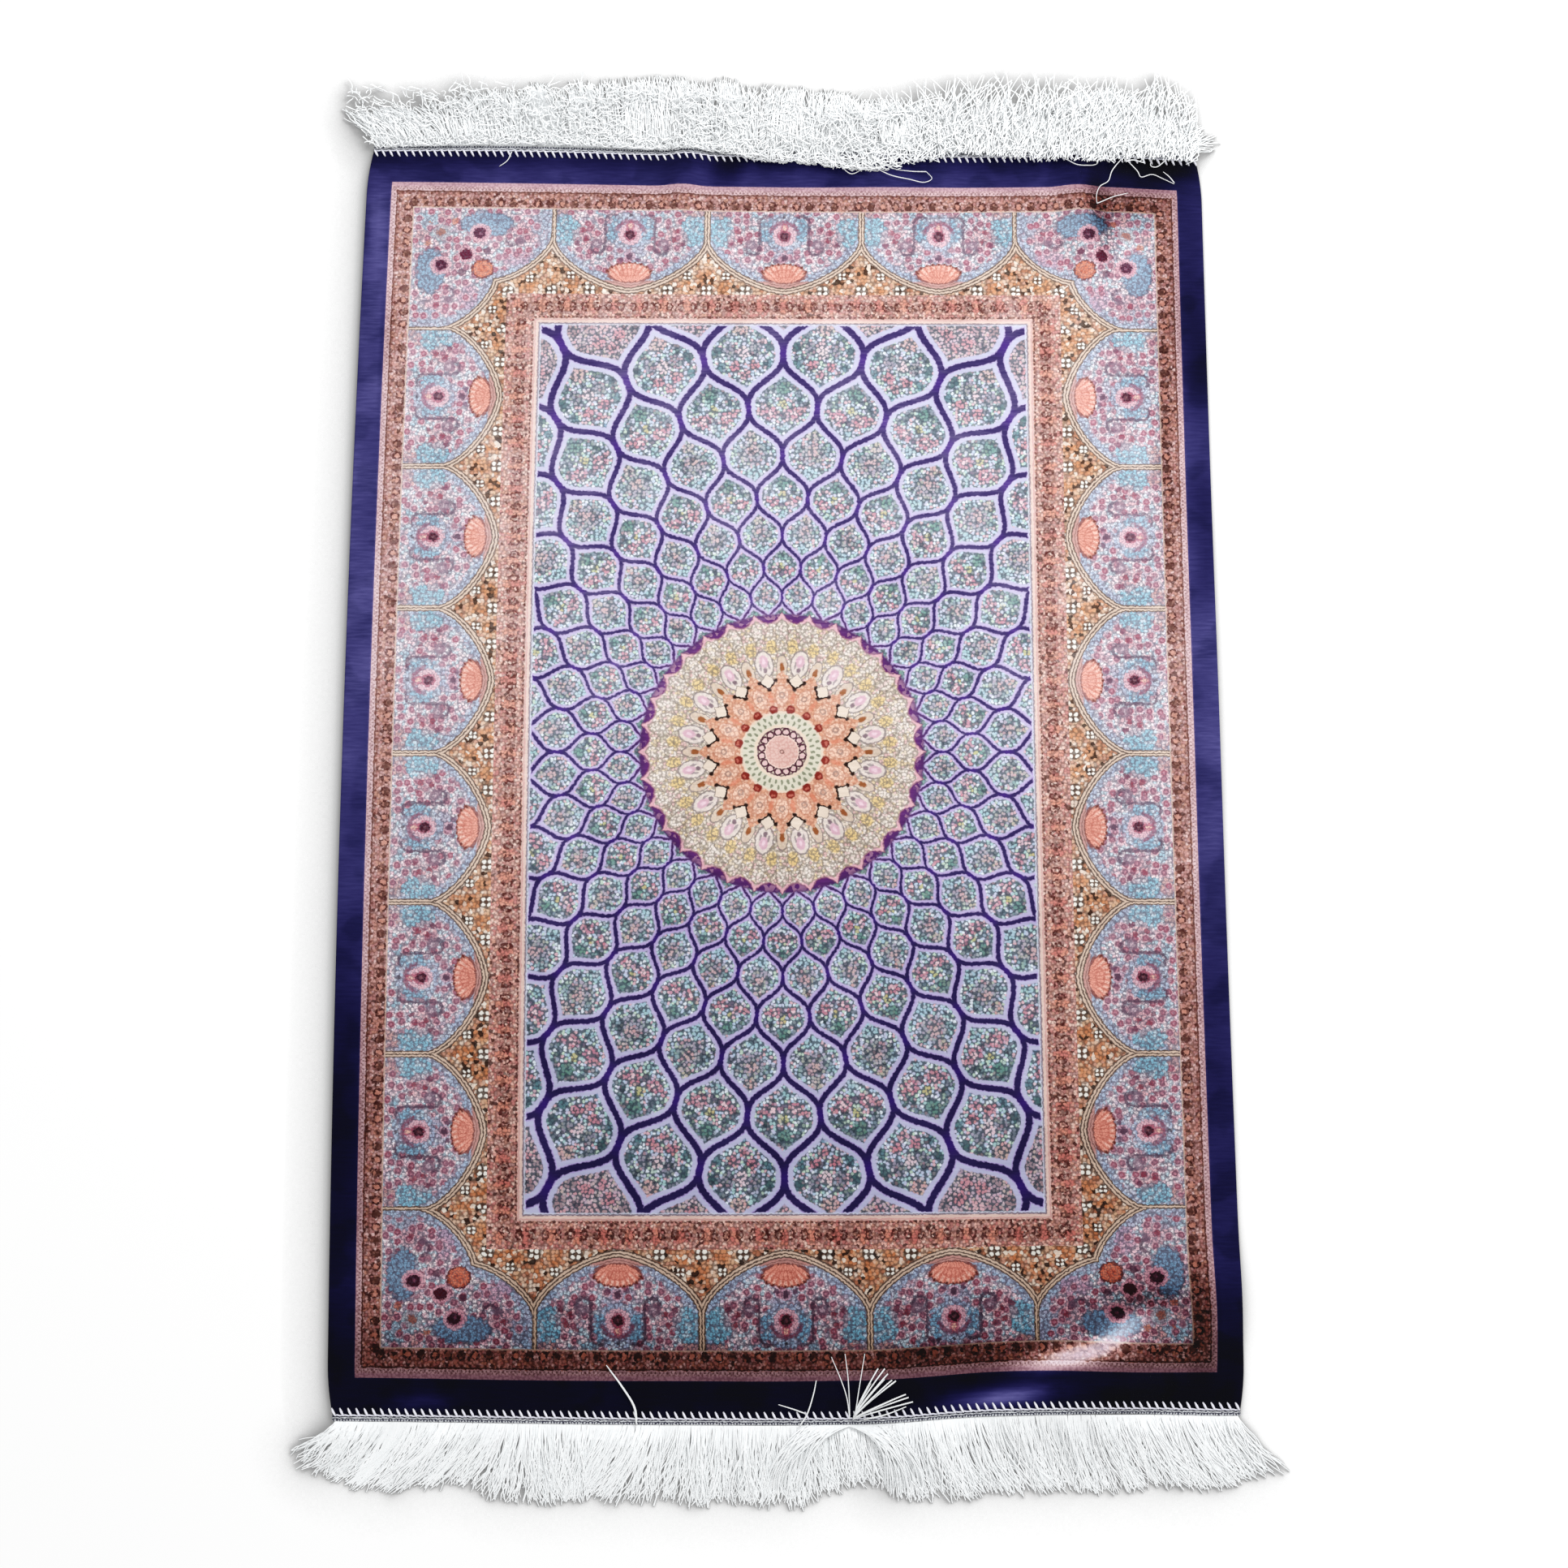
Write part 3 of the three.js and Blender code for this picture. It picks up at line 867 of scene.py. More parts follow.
def dye_border():
    """Arches between pillars, a garden in each, with gold mosaic in the spandrels."""
    d = Dyeing("velvet_pile_main_border", "#dccfdb")
    knots = d.knots(GARDEN_KNOT)
    arch = Arcade(d, knots)
    place = arch.place
    edge = arch.edge()
    knots.tinted(GARDEN)
    rim = edge.above(-6.0, 3.0)
    d.lay("#c4d4e8", rim, 0.85)
    d.spots(place, ARCH_BEDS)
    d.lay("#f4f4f8", knots.tone.below(0.24, 0.03), 0.5)
    knots.outlined("#7c7688", 0.62)
    blue_bed = d.oval(place, 0, 16, 17, 15).below(1, 0.2)
    shore = d.oval(place, 45, 16, 8.5, 12.5).below(1, 0.2)
    calm = rim.work("MAXIMUM", blue_bed).work("MAXIMUM", shore)
    grow_flowers(d, 7.2, calm)

    # The scrolls on both sides of the rosette, and the flowers that have their own places.
    fine = d.knots(MOTIF_KNOT)
    arch = Arcade(d, fine)
    place = arch.place
    stem = arch.across.near(17.8, 1.1, 0.9) * arch.up.near(18.5, 10, 1.2)
    hook = d.oval(place, 22.6, 28.5, 5.0).near(1, 0.24, 0.2) * arch.up.above(27.5, 2)
    foot = d.oval(place, 12.4, 9.0, 5.6).near(1, 0.18, 0.18) * arch.up.below(9, 1)
    foot = foot * arch.across.above(8, 3)
    d.lay("#735a70", stem.work("MAXIMUM", hook).work("MAXIMUM", foot), 0.8)
    hoop = d.oval(place, 0, 18.5, 10.2, 10.2).near(1, 0.15, 0.15) * arch.up.below(17, 4)
    d.lay("#a65d76", hoop, 0.75)
    d.spots(place, ARCH_FLOWERS)

    fine.outlined("#6d6276", 0.4)

    # The palmette at the crown, and the nested lines between it and the arch.
    arch = Arcade(d, d)
    place = arch.place
    edge = arch.edge()
    nest = arch.across.below(19, 1.5) * arch.up.above(54.5, 1.5) * edge.below(1.0, 1)
    d.lay("#d8aca4", nest, 0.9)
    d.lay("#8f6a66", edge.folded(0.95).below(0.28, 0.4), nest, 0.75)
    lens = d.oval(place, 0, 48.3, 16.8, 8.0)
    petal = arch.across.work("ARCTAN2", 60 - arch.up).folded(0.11)
    lens = petal + lens
    inner = lens.below(1, 0.1)
    lower_rim = arch.up.below(49.5, 2)
    d.lay("#f0b9ab", inner)
    d.lay("#fadacf", petal.below(0.045, 0.04), lens.near(0.66, 0.2, 0.1), lower_rim, 0.85)
    d.lay("#cc7a6c", petal.above(0.085, 0.03), inner, 0.55)
    d.lay("#d08478", lens.near(0.42, 0.05, 0.08), 0.6)
    fine.outlined("#bc7466", 0.4, inner)
    d.lay("#6c2826", petal.below(0.035, 0.04), lens.near(0.93, 0.08, 0.08), lower_rim, 0.9)
    d.lay("#84403e", lens.near(1.0, 0.05, 0.08), 0.7)

    # The spandrels.
    gold = d.knots(GOLD_KNOT)
    from_pillar = END_PITCH / 2 - arch.across
    warm_place = d.point(from_pillar, arch.up)
    warm = d.oval(warm_place, 14, 60, 5.0, 6.5).below(1, 0.6)
    warm = warm.work("MAXIMUM", d.oval(warm_place, 0, 51, 5.5, 8.0).below(1, 0.6))
    from_cluster = from_pillar.folded(CLUSTER_PITCH / 2)
    between = CLUSTER_PITCH / 2 - from_cluster
    clusters = [(from_cluster, 62, 1.0), (between, 50.5, 0.75)]
    lay_gold(d, gold, edge.above(ARCH_LINE, 0.5), warm, arch.up, clusters)
    draw_arch_line(d, edge)
    return finish_velvet_with_painted_light(d)


CORNER_CLOUD = (54, 14.5, 19.0, 10.5)
CORNER_BEDS = [
    (82, 21, 9, 9, "#e5b9c2", 0.6),
    (92, 14, 6, 10, "#b9c6d8", 0.7),
    (12, 12, 8, 8, "#c0dbe8", 0.7),
    (24, 8, 5, 5, "#e0b2b0", 0.6),
    (76, 42, 11, 7, "#dcb2c8", 0.6),
]
CORNER_FLOWERS = [
    (22, 21, 6.2, 6.2, "#c0cad0", 0.6),
    (22, 21, 2.8, 2.8, "#b87c6c", 0.8),
    (12, 15, 2.6, 2.6, "#d08a70", 0.8),
    (31, 12, 2.6, 2.6, "#d08a70", 0.7),
    (8, 20, 3.4, 4.0, "#dfeaf4", 0.8),
    (78, 28, 3.4, 3.0, "#9c8093", 0.8),
    (82, 20, 2.1, 2.1, "#a8566a", 0.8),
    (30, 76, 3.0, 3.0, "#7c5c80", 0.7),
    (49.5, 22, 7.8, 7.8, "#ecc6cf", 0.9),
    (49.5, 22, 5.6, 5.6, "#cf8ea4", 0.6),
    (49.0, 22, 4.5, 4.5, "#5f2640", 1.0),
    (49.6, 22.6, 1.2, 1.2, "#b07890", 0.7),
    (40, 40, 6.8, 6.8, "#ecc0cb", 0.85),
    (40, 40, 4.6, 4.6, "#70233f", 1.0),
    (55, 37, 2.8, 2.8, "#7a4a64", 0.8),
]


def dye_corner():
    """The corner blocks, where one arch is folded over the diagonal."""
    d = Dyeing("velvet_pile_corner", "#dccfdb")
    knots = d.knots(GARDEN_KNOT)
    corner = Corner(d, knots)
    place = corner.place
    edge = corner.edge()
    knots.tinted(GARDEN)
    in_cloud = d.oval(place, *CORNER_CLOUD).below(1, 0.12)
    d.lay("#a0c0d8", in_cloud, 0.9)
    d.lay("#c4d4e8", edge.above(-7, 3.0), 0.7)
    d.spots(place, CORNER_BEDS)
    knots.outlined("#7c7688", 0.62)
    grow_flowers(d, 7.2, in_cloud.work("MAXIMUM", edge.above(-5.5, 3)))

    fine = d.knots(MOTIF_KNOT)
    corner = Corner(d, fine)
    place = corner.place
    cloud_rim = d.oval(place, *CORNER_CLOUD).near(1, 0.05, 0.12)
    d.lay("#5f5a72", cloud_rim, corner.near_in.below(25, 4), 0.45)
    hook = d.oval(place, 73, 27, 5.0).near(1, 0.22, 0.2)
    d.lay("#735a70", hook, corner.near_in.above(26, 2), 0.75)
    d.spots(place, CORNER_FLOWERS)
    fan = d.oval(place, 52, 52, 7.6)
    d.lay("#e59a82", fan.below(1, 0.12))
    turn = (corner.far_in - 58).work("ARCTAN2", corner.near_in - 58)
    d.lay("#b85c4c", turn.folded(0.16).below(0.04, 0.06), fan.below(0.95, 0.1), 0.7)
    d.lay("#f2c0ac", fan.near(0.6, 0.1, 0.15), 0.5)
    d.lay("#84403e", fan.near(1, 0.08, 0.1), 0.85)
    fine.outlined("#6d6276", 0.4)

    corner = Corner(d, d)
    edge = corner.edge()
    d.lay("#dfd2d0", corner.near_in.below(1.2, 0.6), 0.7)
    gold = d.knots(GOLD_KNOT)
    warm = d.oval(corner.place, 84, 66, 8.0, 7.0).below(1, 0.6)
    clusters = ((102, 70, 1.0), (71, 70, 0.9), (86, 60, 0.75))
    clusters = [(corner.far_in - middle, up, size) for middle, up, size in clusters]
    lay_gold(d, gold, edge.above(ARCH_LINE, 0.5), warm, corner.near_in, clusters)
    draw_arch_line(d, edge)
    return finish_velvet_with_painted_light(d)


# ------------------------------------------------------------------ backing, tape and floss

# Cotton canvas, plain woven and left undyed. Its threads cross as small squares, with painted shade in the
# gaps between them.
BACKING_THREAD = 1.4  # the real threads are 0.7 mm apart, drawn coarser so that they show


def weave_backing():
    d = Dyeing("cotton_canvas_backing", "#d8d0c2")
    warp = d.u.folded(BACKING_THREAD / 2).above(BACKING_THREAD * 0.36, 0.2)
    weft = d.v.folded(BACKING_THREAD / 2).above(BACKING_THREAD * 0.36, 0.2)
    gaps = warp.work("MAXIMUM", weft)
    # Painted shade in the gaps between the threads.
    d.lay("#a89f90", gaps, 0.7)
    d.lay("#cbb9a6", d.cloud(40), 0.4)
    bump = add(d.tree, "Bump", {"Height": 1 - gaps, "Strength": 0.5, "Distance": 0.0003})
    inputs = {"Base Color": d.colour, "Roughness": 0.92, "Normal": bump.outputs[0]}
    shader = add(d.tree, "BsdfPrincipled", inputs)
    add(d.tree, "OutputMaterial", [shader.outputs[0]])
    return d.material


# Polyester twill tape, woven navy with white cords in it: two dark lines with a white one between.
def weave_tape():
    d = Dyeing("twill_heading_tape", "#24253c")
    d.lay("#dfe2e6", d.v.near(1.5, 0.3, 0.3))
    beads = d.u.folded(0.95).below(0.5, 0.3)
    d.lay("#c9ccd2", d.v.above(2.5, 0.3) * beads)
    d.lay("#e6e8ea", d.v.above(3.6, 0.3))
    cords = d.u.folded(0.4) + d.v.near(1.25, 0.42, 0.3)
    bump = add(d.tree, "Bump", {"Height": cords, "Strength": 0.4, "Distance": 0.0004})
    inputs = {"Base Color": d.colour, "Roughness": 0.8, "Normal": bump.outputs[0]}
    shader = add(d.tree, "BsdfPrincipled", inputs)
    add(d.tree, "OutputMaterial", [shader.outputs[0]])
    return d.material


# Rayon floss and thread, spun and bleached. Single fibres catch the light along the strand.
FIBRE_SCALE = 900.0  # the fibres' noise, in turns a metre
FIBRE_SHARE = 0.4  # how much of a strand's tone its fibres give, and the rest is the strand's own


def spin_floss(name, colour, shade, roughness=0.55):
    material = new_material(name)
    tree = material.node_tree
    place = add(tree, "TexCoord").outputs["Object"]
    inputs = {"Vector": place, "Scale": FIBRE_SCALE, "Detail": 2.0}
    fibres = Field(tree, add(tree, "TexNoise", inputs).outputs[0])
    strand = Field(tree, add(tree, "NewGeometry").outputs["Random Per Island"])
    inputs = {0: fibres * FIBRE_SHARE + strand * (1 - FIBRE_SHARE), 6: dye(shade), 7: dye(colour)}
    tone = add(tree, "Mix", inputs, data_type="RGBA")
    bump = add(tree, "Bump", {"Height": fibres, "Strength": 0.3, "Distance": 0.0002})
    inputs = {
        "Base Color": tone.outputs[2],
        "Roughness": roughness,
        "Sheen Weight": 1.0,
        "Sheen Roughness": 0.4,
        "Normal": bump.outputs[0],
    }
    shader = add(tree, "BsdfPrincipled", inputs)
    add(tree, "OutputMaterial", [shader.outputs[0]])
    return material


# ------------------------------------------------------------------ making meshes


def piece_from(name, points, faces, materials, face_slots=None, smooth=True):
    """A mesh piece that rides on the rug's one body."""
    mesh = bpy.data.meshes.new(name)
    mesh.from_pydata([], [], [])
    faces = [np.asarray(group, np.int32) for group in faces if len(group)]
    corners = np.concatenate([group.ravel() for group in faces])
    sizes = np.concatenate([np.full(len(group), group.shape[1], np.int32) for group in faces])
    mesh.vertices.add(len(points))
    mesh.vertices.foreach_set("co", np.asarray(points, np.float32).ravel())
    mesh.loops.add(len(corners))
    mesh.loops.foreach_set("vertex_index", corners)
    mesh.polygons.add(len(sizes))
    starts = np.concatenate([[0], np.cumsum(sizes)[:-1]]).astype(np.int32)
    mesh.polygons.foreach_set("loop_start", starts)
    mesh.polygons.foreach_set("loop_total", sizes)
    mesh.polygons.foreach_set("use_smooth", np.full(len(sizes), smooth))
    for material in materials:
        mesh.materials.append(material)
    if face_slots is not None:
        mesh.polygons.foreach_set("material_index", np.asarray(face_slots, np.int32))
    mesh.update(calc_edges=True)
    mesh.validate()
    piece = bpy.data.objects.new(name, mesh)
    bpy.context.scene.collection.objects.link(piece)
    return piece


def grid_faces(columns, rows, offset=0, flip=False):
    """The quads of a grid of points that runs along +X first."""
    i, j = np.meshgrid(np.arange(columns), np.arange(rows))
    a = (j * (columns + 1) + i).ravel() + offset
    quads = np.stack([a, a + 1, a + columns + 2, a + columns + 1], axis=1)
    return quads[:, ::-1] if flip else quads


def wall_faces(columns, rows, under):
    """The quads round the edge of two such grids, the second one under the first."""
    stride = columns + 1
    near = np.arange(columns)
    far = rows * stride + np.arange(columns, 0, -1)
    right = columns + stride * np.arange(rows)
    left = stride * np.arange(rows, 0, -1)
    starts = np.concatenate([near, right, far, left])
    ends = np.concatenate([near + 1, right + stride, far - 1, left - stride])
    return np.stack([starts + under, ends + under, ends, starts], axis=1)


def closed_sheet(name, top, bottom, places, materials, slots=None):
    """A sheet piece from the grids of points of its two sides, and of their places in the pattern.

    slots says which material each face of the top has, then the backing and the walls."""
    columns = top.shape[1] - 1
    rows = top.shape[0] - 1
    under = top.shape[0] * top.shape[1]
    parts = [
        grid_faces(columns, rows),
        grid_faces(columns, rows, under, flip=True),
        wall_faces(columns, rows, under),
    ]
    points = np.concatenate([top.reshape(-1, 3), bottom.reshape(-1, 3)])
    face_slots = None
    if slots:
        face_slots = np.concatenate([np.broadcast_to(slot, len(part)) for slot, part in zip(slots, parts)])
    piece = piece_from(name, points, parts, materials, face_slots)
    corners = np.concatenate([part.ravel() for part in parts]) % under
    add_map(piece, PATTERN_MAP, places[corners])
    return piece


def add_map(piece, name, places):
    layer = piece.data.uv_layers.new(name=name)
    layer.uv.foreach_set("vector", places.astype(np.float32).ravel())
    return layer


def stations(edges, step):
    """Grid lines at the given edges, and evenly between them no further apart than a step."""
    lines = [edges[0]]
    for low, high in zip(edges, edges[1:]):
        count = max(1, math.ceil((high - low) / step))
        lines += [low + (high - low) * (k + 1) / count for k in range(count)]
    return np.array(lines)


def mirrored(values):
    return sorted([-value for value in values] + list(values))


def tubes(paths, radii, sides=3):
    """Points and faces of many thin closed tubes. Paths are strand by point by xyz in metres."""
    strands, steps, _ = paths.shape
    ahead = np.gradient(paths, axis=1)
    ahead /= np.linalg.norm(ahead, axis=2, keepdims=True) + 1e-12
    level = np.cross(ahead, (0, 0, 1.0))
    level /= np.linalg.norm(level, axis=2, keepdims=True) + 1e-9
    upward = np.cross(level, ahead)
    turn = np.arange(sides) * math.tau / sides + math.pi / 6
    ring = np.cos(turn)[:, None] * level[:, :, None] + np.sin(turn)[:, None] * upward[:, :, None]
    points = paths[:, :, None] + radii[:, :, None, None] * ring
    start = (np.arange(strands) * steps * sides)[:, None, None]
    k = (np.arange(steps - 1) * sides)[None, :, None]
    a = np.arange(sides)[None, None, :]
    b = (a + 1) % sides
    quads = np.stack([start + k + a, start + k + b, start + k + sides + b, start + k + sides + a], -1)
    first = start[:, 0] + np.arange(sides)[None, ::-1]
    last = start[:, 0] + (steps - 1) * sides + np.arange(sides)[None, :]
    caps = np.concatenate([first, last])
    return points.reshape(-1, 3), [quads.reshape(-1, 4), caps]


def join_tubes(bundles):
    """Several sets of tubes as one set of points and faces."""
    points = []
    faces = []
    for found, groups in bundles:
        base = sum(len(p) for p in points)
        points.append(found)
        faces += [group + base for group in groups]
    return np.concatenate(points), faces


# ------------------------------------------------------------------ the pile cloth

GRID_STEP = 5
EDGE_ROLL = 1.6  # the cloth's edge is rounded over this width
EDGE_WAIST = 0.38  # and each of its two faces comes in by this share of the thickness
BACK_STRIP = 0.92  # the share of the bake map's width that the front takes

# The light level painted into the pile up the rug: low near the bottom edge, where painted shade deepens
# the dyes, and high from the middle up, where painted sheen pales them.
PAINTED_LIGHT_UP_THE_RUG = {
    "v": [-444, -408, -385, -345, -322, -300, -220, -140, -60, 60, 200, 380, 425, 444],
    "painted_light": [-0.05, -0.1, 0.28, 0.56, 0.58, 0.6, 0.67, 0.76, 0.88, 1.0, 1.02, 0.97, 0.85, 0.43],
}
# Patches of painted highlight on ridges and lit slopes, and of painted shade in valleys, hollows, creases
# and along the sides, laid out as the ripples are.
PAINTED_LIGHT_PATCHES = table(
    "name x y turn along across gain",
    ("near right ridge light", 190, -403, 12, 60, 12, 1.7),
    ("near right garden light", 222, -386, 32, 36, 11, 0.9),
    ("near right foot light", 140, -430, 8, 68, 13, 1.3),
    ("near right valley", 108, -402, 3, 60, 10, -0.6),
    ("near right hollow", 238, -368, 8, 42, 10, -0.5),
    ("near right guard dark", 273, -384, 90, 64, 15, -0.7),
    ("near right band dark", 240, -432, 0, 66, 14, -0.5),
    ("near left light", -240, -432, 2, 46, 9, 0.6),
    ("left upper light", -293, 385, 90, 70, 12, 0.2),
    ("near right corner dark", 228, -362, 10, 62, 30, -0.32),
    ("left stripe dark", -284, 300, 90, 60, 8, -0.25),
    ("right guard dark", 270, 240, 90, 190, 13, -0.34),
    ("left side dark", -300, -260, 90, 180, 30, -0.5),
    ("right side dark", 300, 280, 90, 60, 26, -0.45),
    ("right shoulder dark", 290, 345, 92, 110, 30, -0.42),
    ("right upper side dark", 296, 170, 90, 100, 22, -0.36),
    ("right side light", 292, -20, 90, 120, 24, 0.07),
    ("far crease dark", -40, 436, 70, 30, 18, -0.6),
    ("far corner dark", 248, 412, 20, 62, 40, -0.6),
    ("far right crease dark", 228, 396, 98, 60, 13, -0.7),
    ("far corner band dark", 272, 434, 0, 62, 18, -0.8),
)
MOTTLE = 0.07  # random unevenness laid over the painted light and shade
PAINTED_LIGHT_LIMITS = (-0.35, 1.9)


def painted_light_at(x, y, v):
    """The painted light level at a place: 1 at rest, less under painted shade and more under painted
    highlight and sheen.
    """
    painted_light = eased(v, PAINTED_LIGHT_UP_THE_RUG["v"], PAINTED_LIGHT_UP_THE_RUG["painted_light"])
    # Painted highlight and painted shade, patch by patch.
    for patch in PAINTED_LIGHT_PATCHES:
        painted_light = painted_light + patch["gain"] * crest(patch, x, y)
    mottle = np.sin(x / 13 + 2 * np.sin(y / 31)) * np.sin(y / 17 + 2 * np.sin(x / 29))
    return np.clip(painted_light + MOTTLE * mottle, *PAINTED_LIGHT_LIMITS)


def choose_dyes(middles, slot_of):
    """The material of each face of the pile, by where its middle lies in the pattern."""
    u, v = np.abs(middles).T
    slots = np.full(len(middles), slot_of["field"])
    for name, inner in (
        ("inner_guard", INNER_GUARD),
        ("border", MAIN_BORDER),
        ("outer_guard", OUTER_GUARD),
        ("band", VIOLET_BAND),
    ):
        slots[(u > inner[0]) | (v > inner[1])] = slot_of[name]
    cornered = (u > CORNER_BLOCK[0]) & (v > CORNER_BLOCK[1])
    slots[cornered & (slots == slot_of["border"])] = slot_of["corner"]
    return slots


def make_cloth():
    """The pile, its woven back and its rounded edge, as one closed sheet."""
    across = [VIOLET_BAND, OUTER_GUARD, MAIN_BORDER, INNER_GUARD, CORNER_BLOCK]
    half = (CLOTH["half_width"], CLOTH["half_length"])
    rolled = [(half[0] - k, half[1] - k) for k in (0, 0.5, EDGE_ROLL)]
    u, v = (stations(mirrored([size[k] for size in rolled + across]), GRID_STEP) for k in (0, 1))
    grid_u, grid_v = np.meshgrid(u, v)
    x, y = on_floor(grid_u, grid_v)
    height = lift(x, y)
    inward = np.minimum(half[0] - np.abs(grid_u), half[1] - np.abs(grid_v))
    roll = np.sqrt(np.clip(1 - (1 - np.clip(inward / EDGE_ROLL, 0, 1)) ** 2, 0, 1))
    thickness = CLOTH["thickness"]
    waist = thickness * EDGE_WAIST
    top = metres(x, y, height + thickness - waist + waist * roll)
    bottom = metres(x, y, height + waist - waist * roll)
    finishes = {
        "field": dye_field(),
        "inner_guard": dye_inner_guard(),
        "border": dye_border(),
        "corner": dye_corner(),
        "outer_guard": dye_outer_guard(),
        "band": dye_band(),
        "backing": weave_backing(),
    }
    slot_of = {name: k for k, name in enumerate(finishes)}
    places = np.stack([grid_u.ravel(), grid_v.ravel()], 1)
    front = grid_faces(len(u) - 1, len(v) - 1)
    slots = (choose_dyes(places[front].mean(1), slot_of), slot_of["backing"], slot_of["band"])
    cloth = closed_sheet("pile_cloth_velvet", top, bottom, places, list(finishes.values()), slots)
    # The light level for the pile's painted shade, highlight and sheen, the same on its front and back
    # points.
    painted_light = painted_light_at(x, y, grid_v).ravel()
    painted_light_level = cloth.data.attributes.new("painted_light", "FLOAT", "POINT")
    painted_light_level.data.foreach_set("value", np.concatenate([painted_light, painted_light]).astype(np.float32))
    add_bake_map(cloth, places, half, len(front))
    cloth.data.uv_layers.active = cloth.data.uv_layers[PATTERN_MAP]
    return cloth


# A second map without overlaps: where the front, the back and the walls start in it, and how wide.
BAKE_STRIPS = ((0.004, BACK_STRIP - 0.008), (BACK_STRIP + 0.002, 0.04), (BACK_STRIP + 0.046, 0.03))


def add_bake_map(cloth, places, half, front_faces):
    """Front, back and walls come in that order among the sheet's faces, all with four corners."""
    corners = np.zeros(len(cloth.data.loops), np.int32)
    cloth.data.loops.foreach_get("vertex_index", corners)
    unit = ((places + half) / (2 * np.array(half)))[corners % len(places)]
    ends = (0, front_faces * 4, front_faces * 8, len(corners))
    spread = [
        (start, 0.004) + unit[low:high] * (width, 0.992)
        for (start, width), low, high in zip(BAKE_STRIPS, ends, ends[1:])
    ]
    add_map(cloth, BAKE_MAP, np.concatenate(spread))


# ------------------------------------------------------------------ overlock stitches and tapes

STITCH = {"pitch": 5.35, "reach": 5.1, "lean": 2.7, "radius": 0.84, "rise": 0.7}
CHAIN = {"radius": 0.55, "height": 2.7, "sway": 0.25, "out": 0.15}


def make_overlock(end, floss):
    """The slanted stitches over the cloth's end, with the chain that joins them outside."""
    half = END_HALF - 1.5
    x = np.arange(-half, half, STITCH["pitch"])
    t = np.linspace(0, 1, 7)
    inward = STITCH["reach"] * t
    place_x = x[:, None] + end * STITCH["lean"] * (t - 0.3)
    edge = end_line(end, x)[:, None]
    place_y = edge - end * (inward - 0.6)
    arch = np.sin(math.pi * np.clip(t * 0.85 + 0.1, 0, 1)) * STITCH["rise"]
    place_z = lift(place_x, place_y) + CLOTH["thickness"] + arch
    radii = STITCH["radius"] * MM * np.sqrt(np.sin(math.pi * np.clip(t * 0.88 + 0.06, 0, 1)))
    stitches = tubes(metres(place_x, place_y, place_z), np.tile(radii, (len(x), 1)), 5)
    along = np.linspace(-half, half, 320)
    weave = CHAIN["sway"] * np.sin(along * math.tau / STITCH["pitch"])
    y = end_line(end, along) + end * (CHAIN["out"] + weave)
    path = metres(along, y, lift(along, y) + CHAIN["height"])[None]
    chain = tubes(path, np.full((1, len(along)), CHAIN["radius"] * MM), 5)
    points, faces = join_tubes([stitches, chain])
    return piece_from(f"{end_name(end)}_overlock_stitches", points, faces, [floss])


def end_name(end):
    return "far" if end == FAR else "near"


def make_tape(end, finish):
    """The heading tape as a low rounded strip."""
    half = END_HALF
    u = np.linspace(-half, half, 121)
    out = np.linspace(0, TAPE["depth"], 7)[::end]
    grid_u, grid_out = np.meshgrid(u, out)
    y = end_line(end, grid_u) + end * (SEAM_GAP + grid_out)
    height = lift(grid_u, y)
    ribs = TAPE["rib"] * np.cos(grid_out / TAPE["depth"] * 2 * math.tau)
    crown = TAPE["thickness"] * (0.78 + 0.22 * np.sin(math.pi * grid_out / TAPE["depth"]))
    top = metres(grid_u, y, height + crown + ribs - TAPE["rib"])
    bottom = metres(grid_u, y, height)
    places = np.stack([grid_u.ravel(), grid_out.ravel()], 1)
    return closed_sheet(f"{end_name(end)}_tape_woven", top, bottom, places, [finish])


# ------------------------------------------------------------------ the fringes

STRAND_STEPS = 11
STRAND_RADIUS = 0.42
LOOSE_CORNER = 26  # the strands this near a corner lie more loosely
FRINGE_ROOT = SEAM_GAP + TAPE["depth"] + 0.3

# The strands lie in locks that fan outwards. loft is how high they stand, curl how far they bend, clump
# how wide a lock is, fan how far the outermost ones lean, and reach how far they stand out from the tape.
NEAR_LOCKS = {
    "seed": 11,
    "count": 2700,
    "loft": 4.2,
    "curl": 4.6,
    "clump": 5,
    "fan": 29,
    "leans": humps(
        ("left sweep", -215, 70, -10),
        ("left parting", -160, 45, 20),
        ("middle sweep", -100, 50, -15),
        ("right sweep", 110, 70, 7),
    ),
    "reach": 49,
    "reaches": humps(
        ("left corner", -304, 60, -18),
        ("left", -240, 90, -5),
        ("left notch", -200, 26, -5),
        ("notch", 42, 36, -12),
        ("right corner", 304, 60, -12),
    ),
}
FAR_LOCKS = {
    "seed": 12,
    "count": 2300,
    "loft": 7,
    "curl": 4.0,
    "clump": 9,
    "fan": 14,
    "leans": humps(
        ("left corner", -304, 90, -12),
        ("right", 170, 120, 9),
    ),
    "reach": 40,
    "reaches": humps(
        ("left corner", -304, 100, -12),
        ("middle", -80, 190, 17),
        ("right peak", 210, 45, 12),
        ("right corner", 304, 60, -24),
    ),
}


def smooth_noise(rng, x, size, count=1):
    """A random line that wanders smoothly over x, with bends about a size apart."""
    knots = np.arange(x.min() - size, x.max() + 2 * size, size)
    return np.interp(x, knots, rng.normal(0, count, len(knots)))


# How unevenly the strands lie: lock by lock, strand by strand, and where a strand is cut short.
UNEVEN = {"lock lean": 5.0, "lock reach": 2.2, "lean": 3.2, "short": 9, "short share": 0.3}


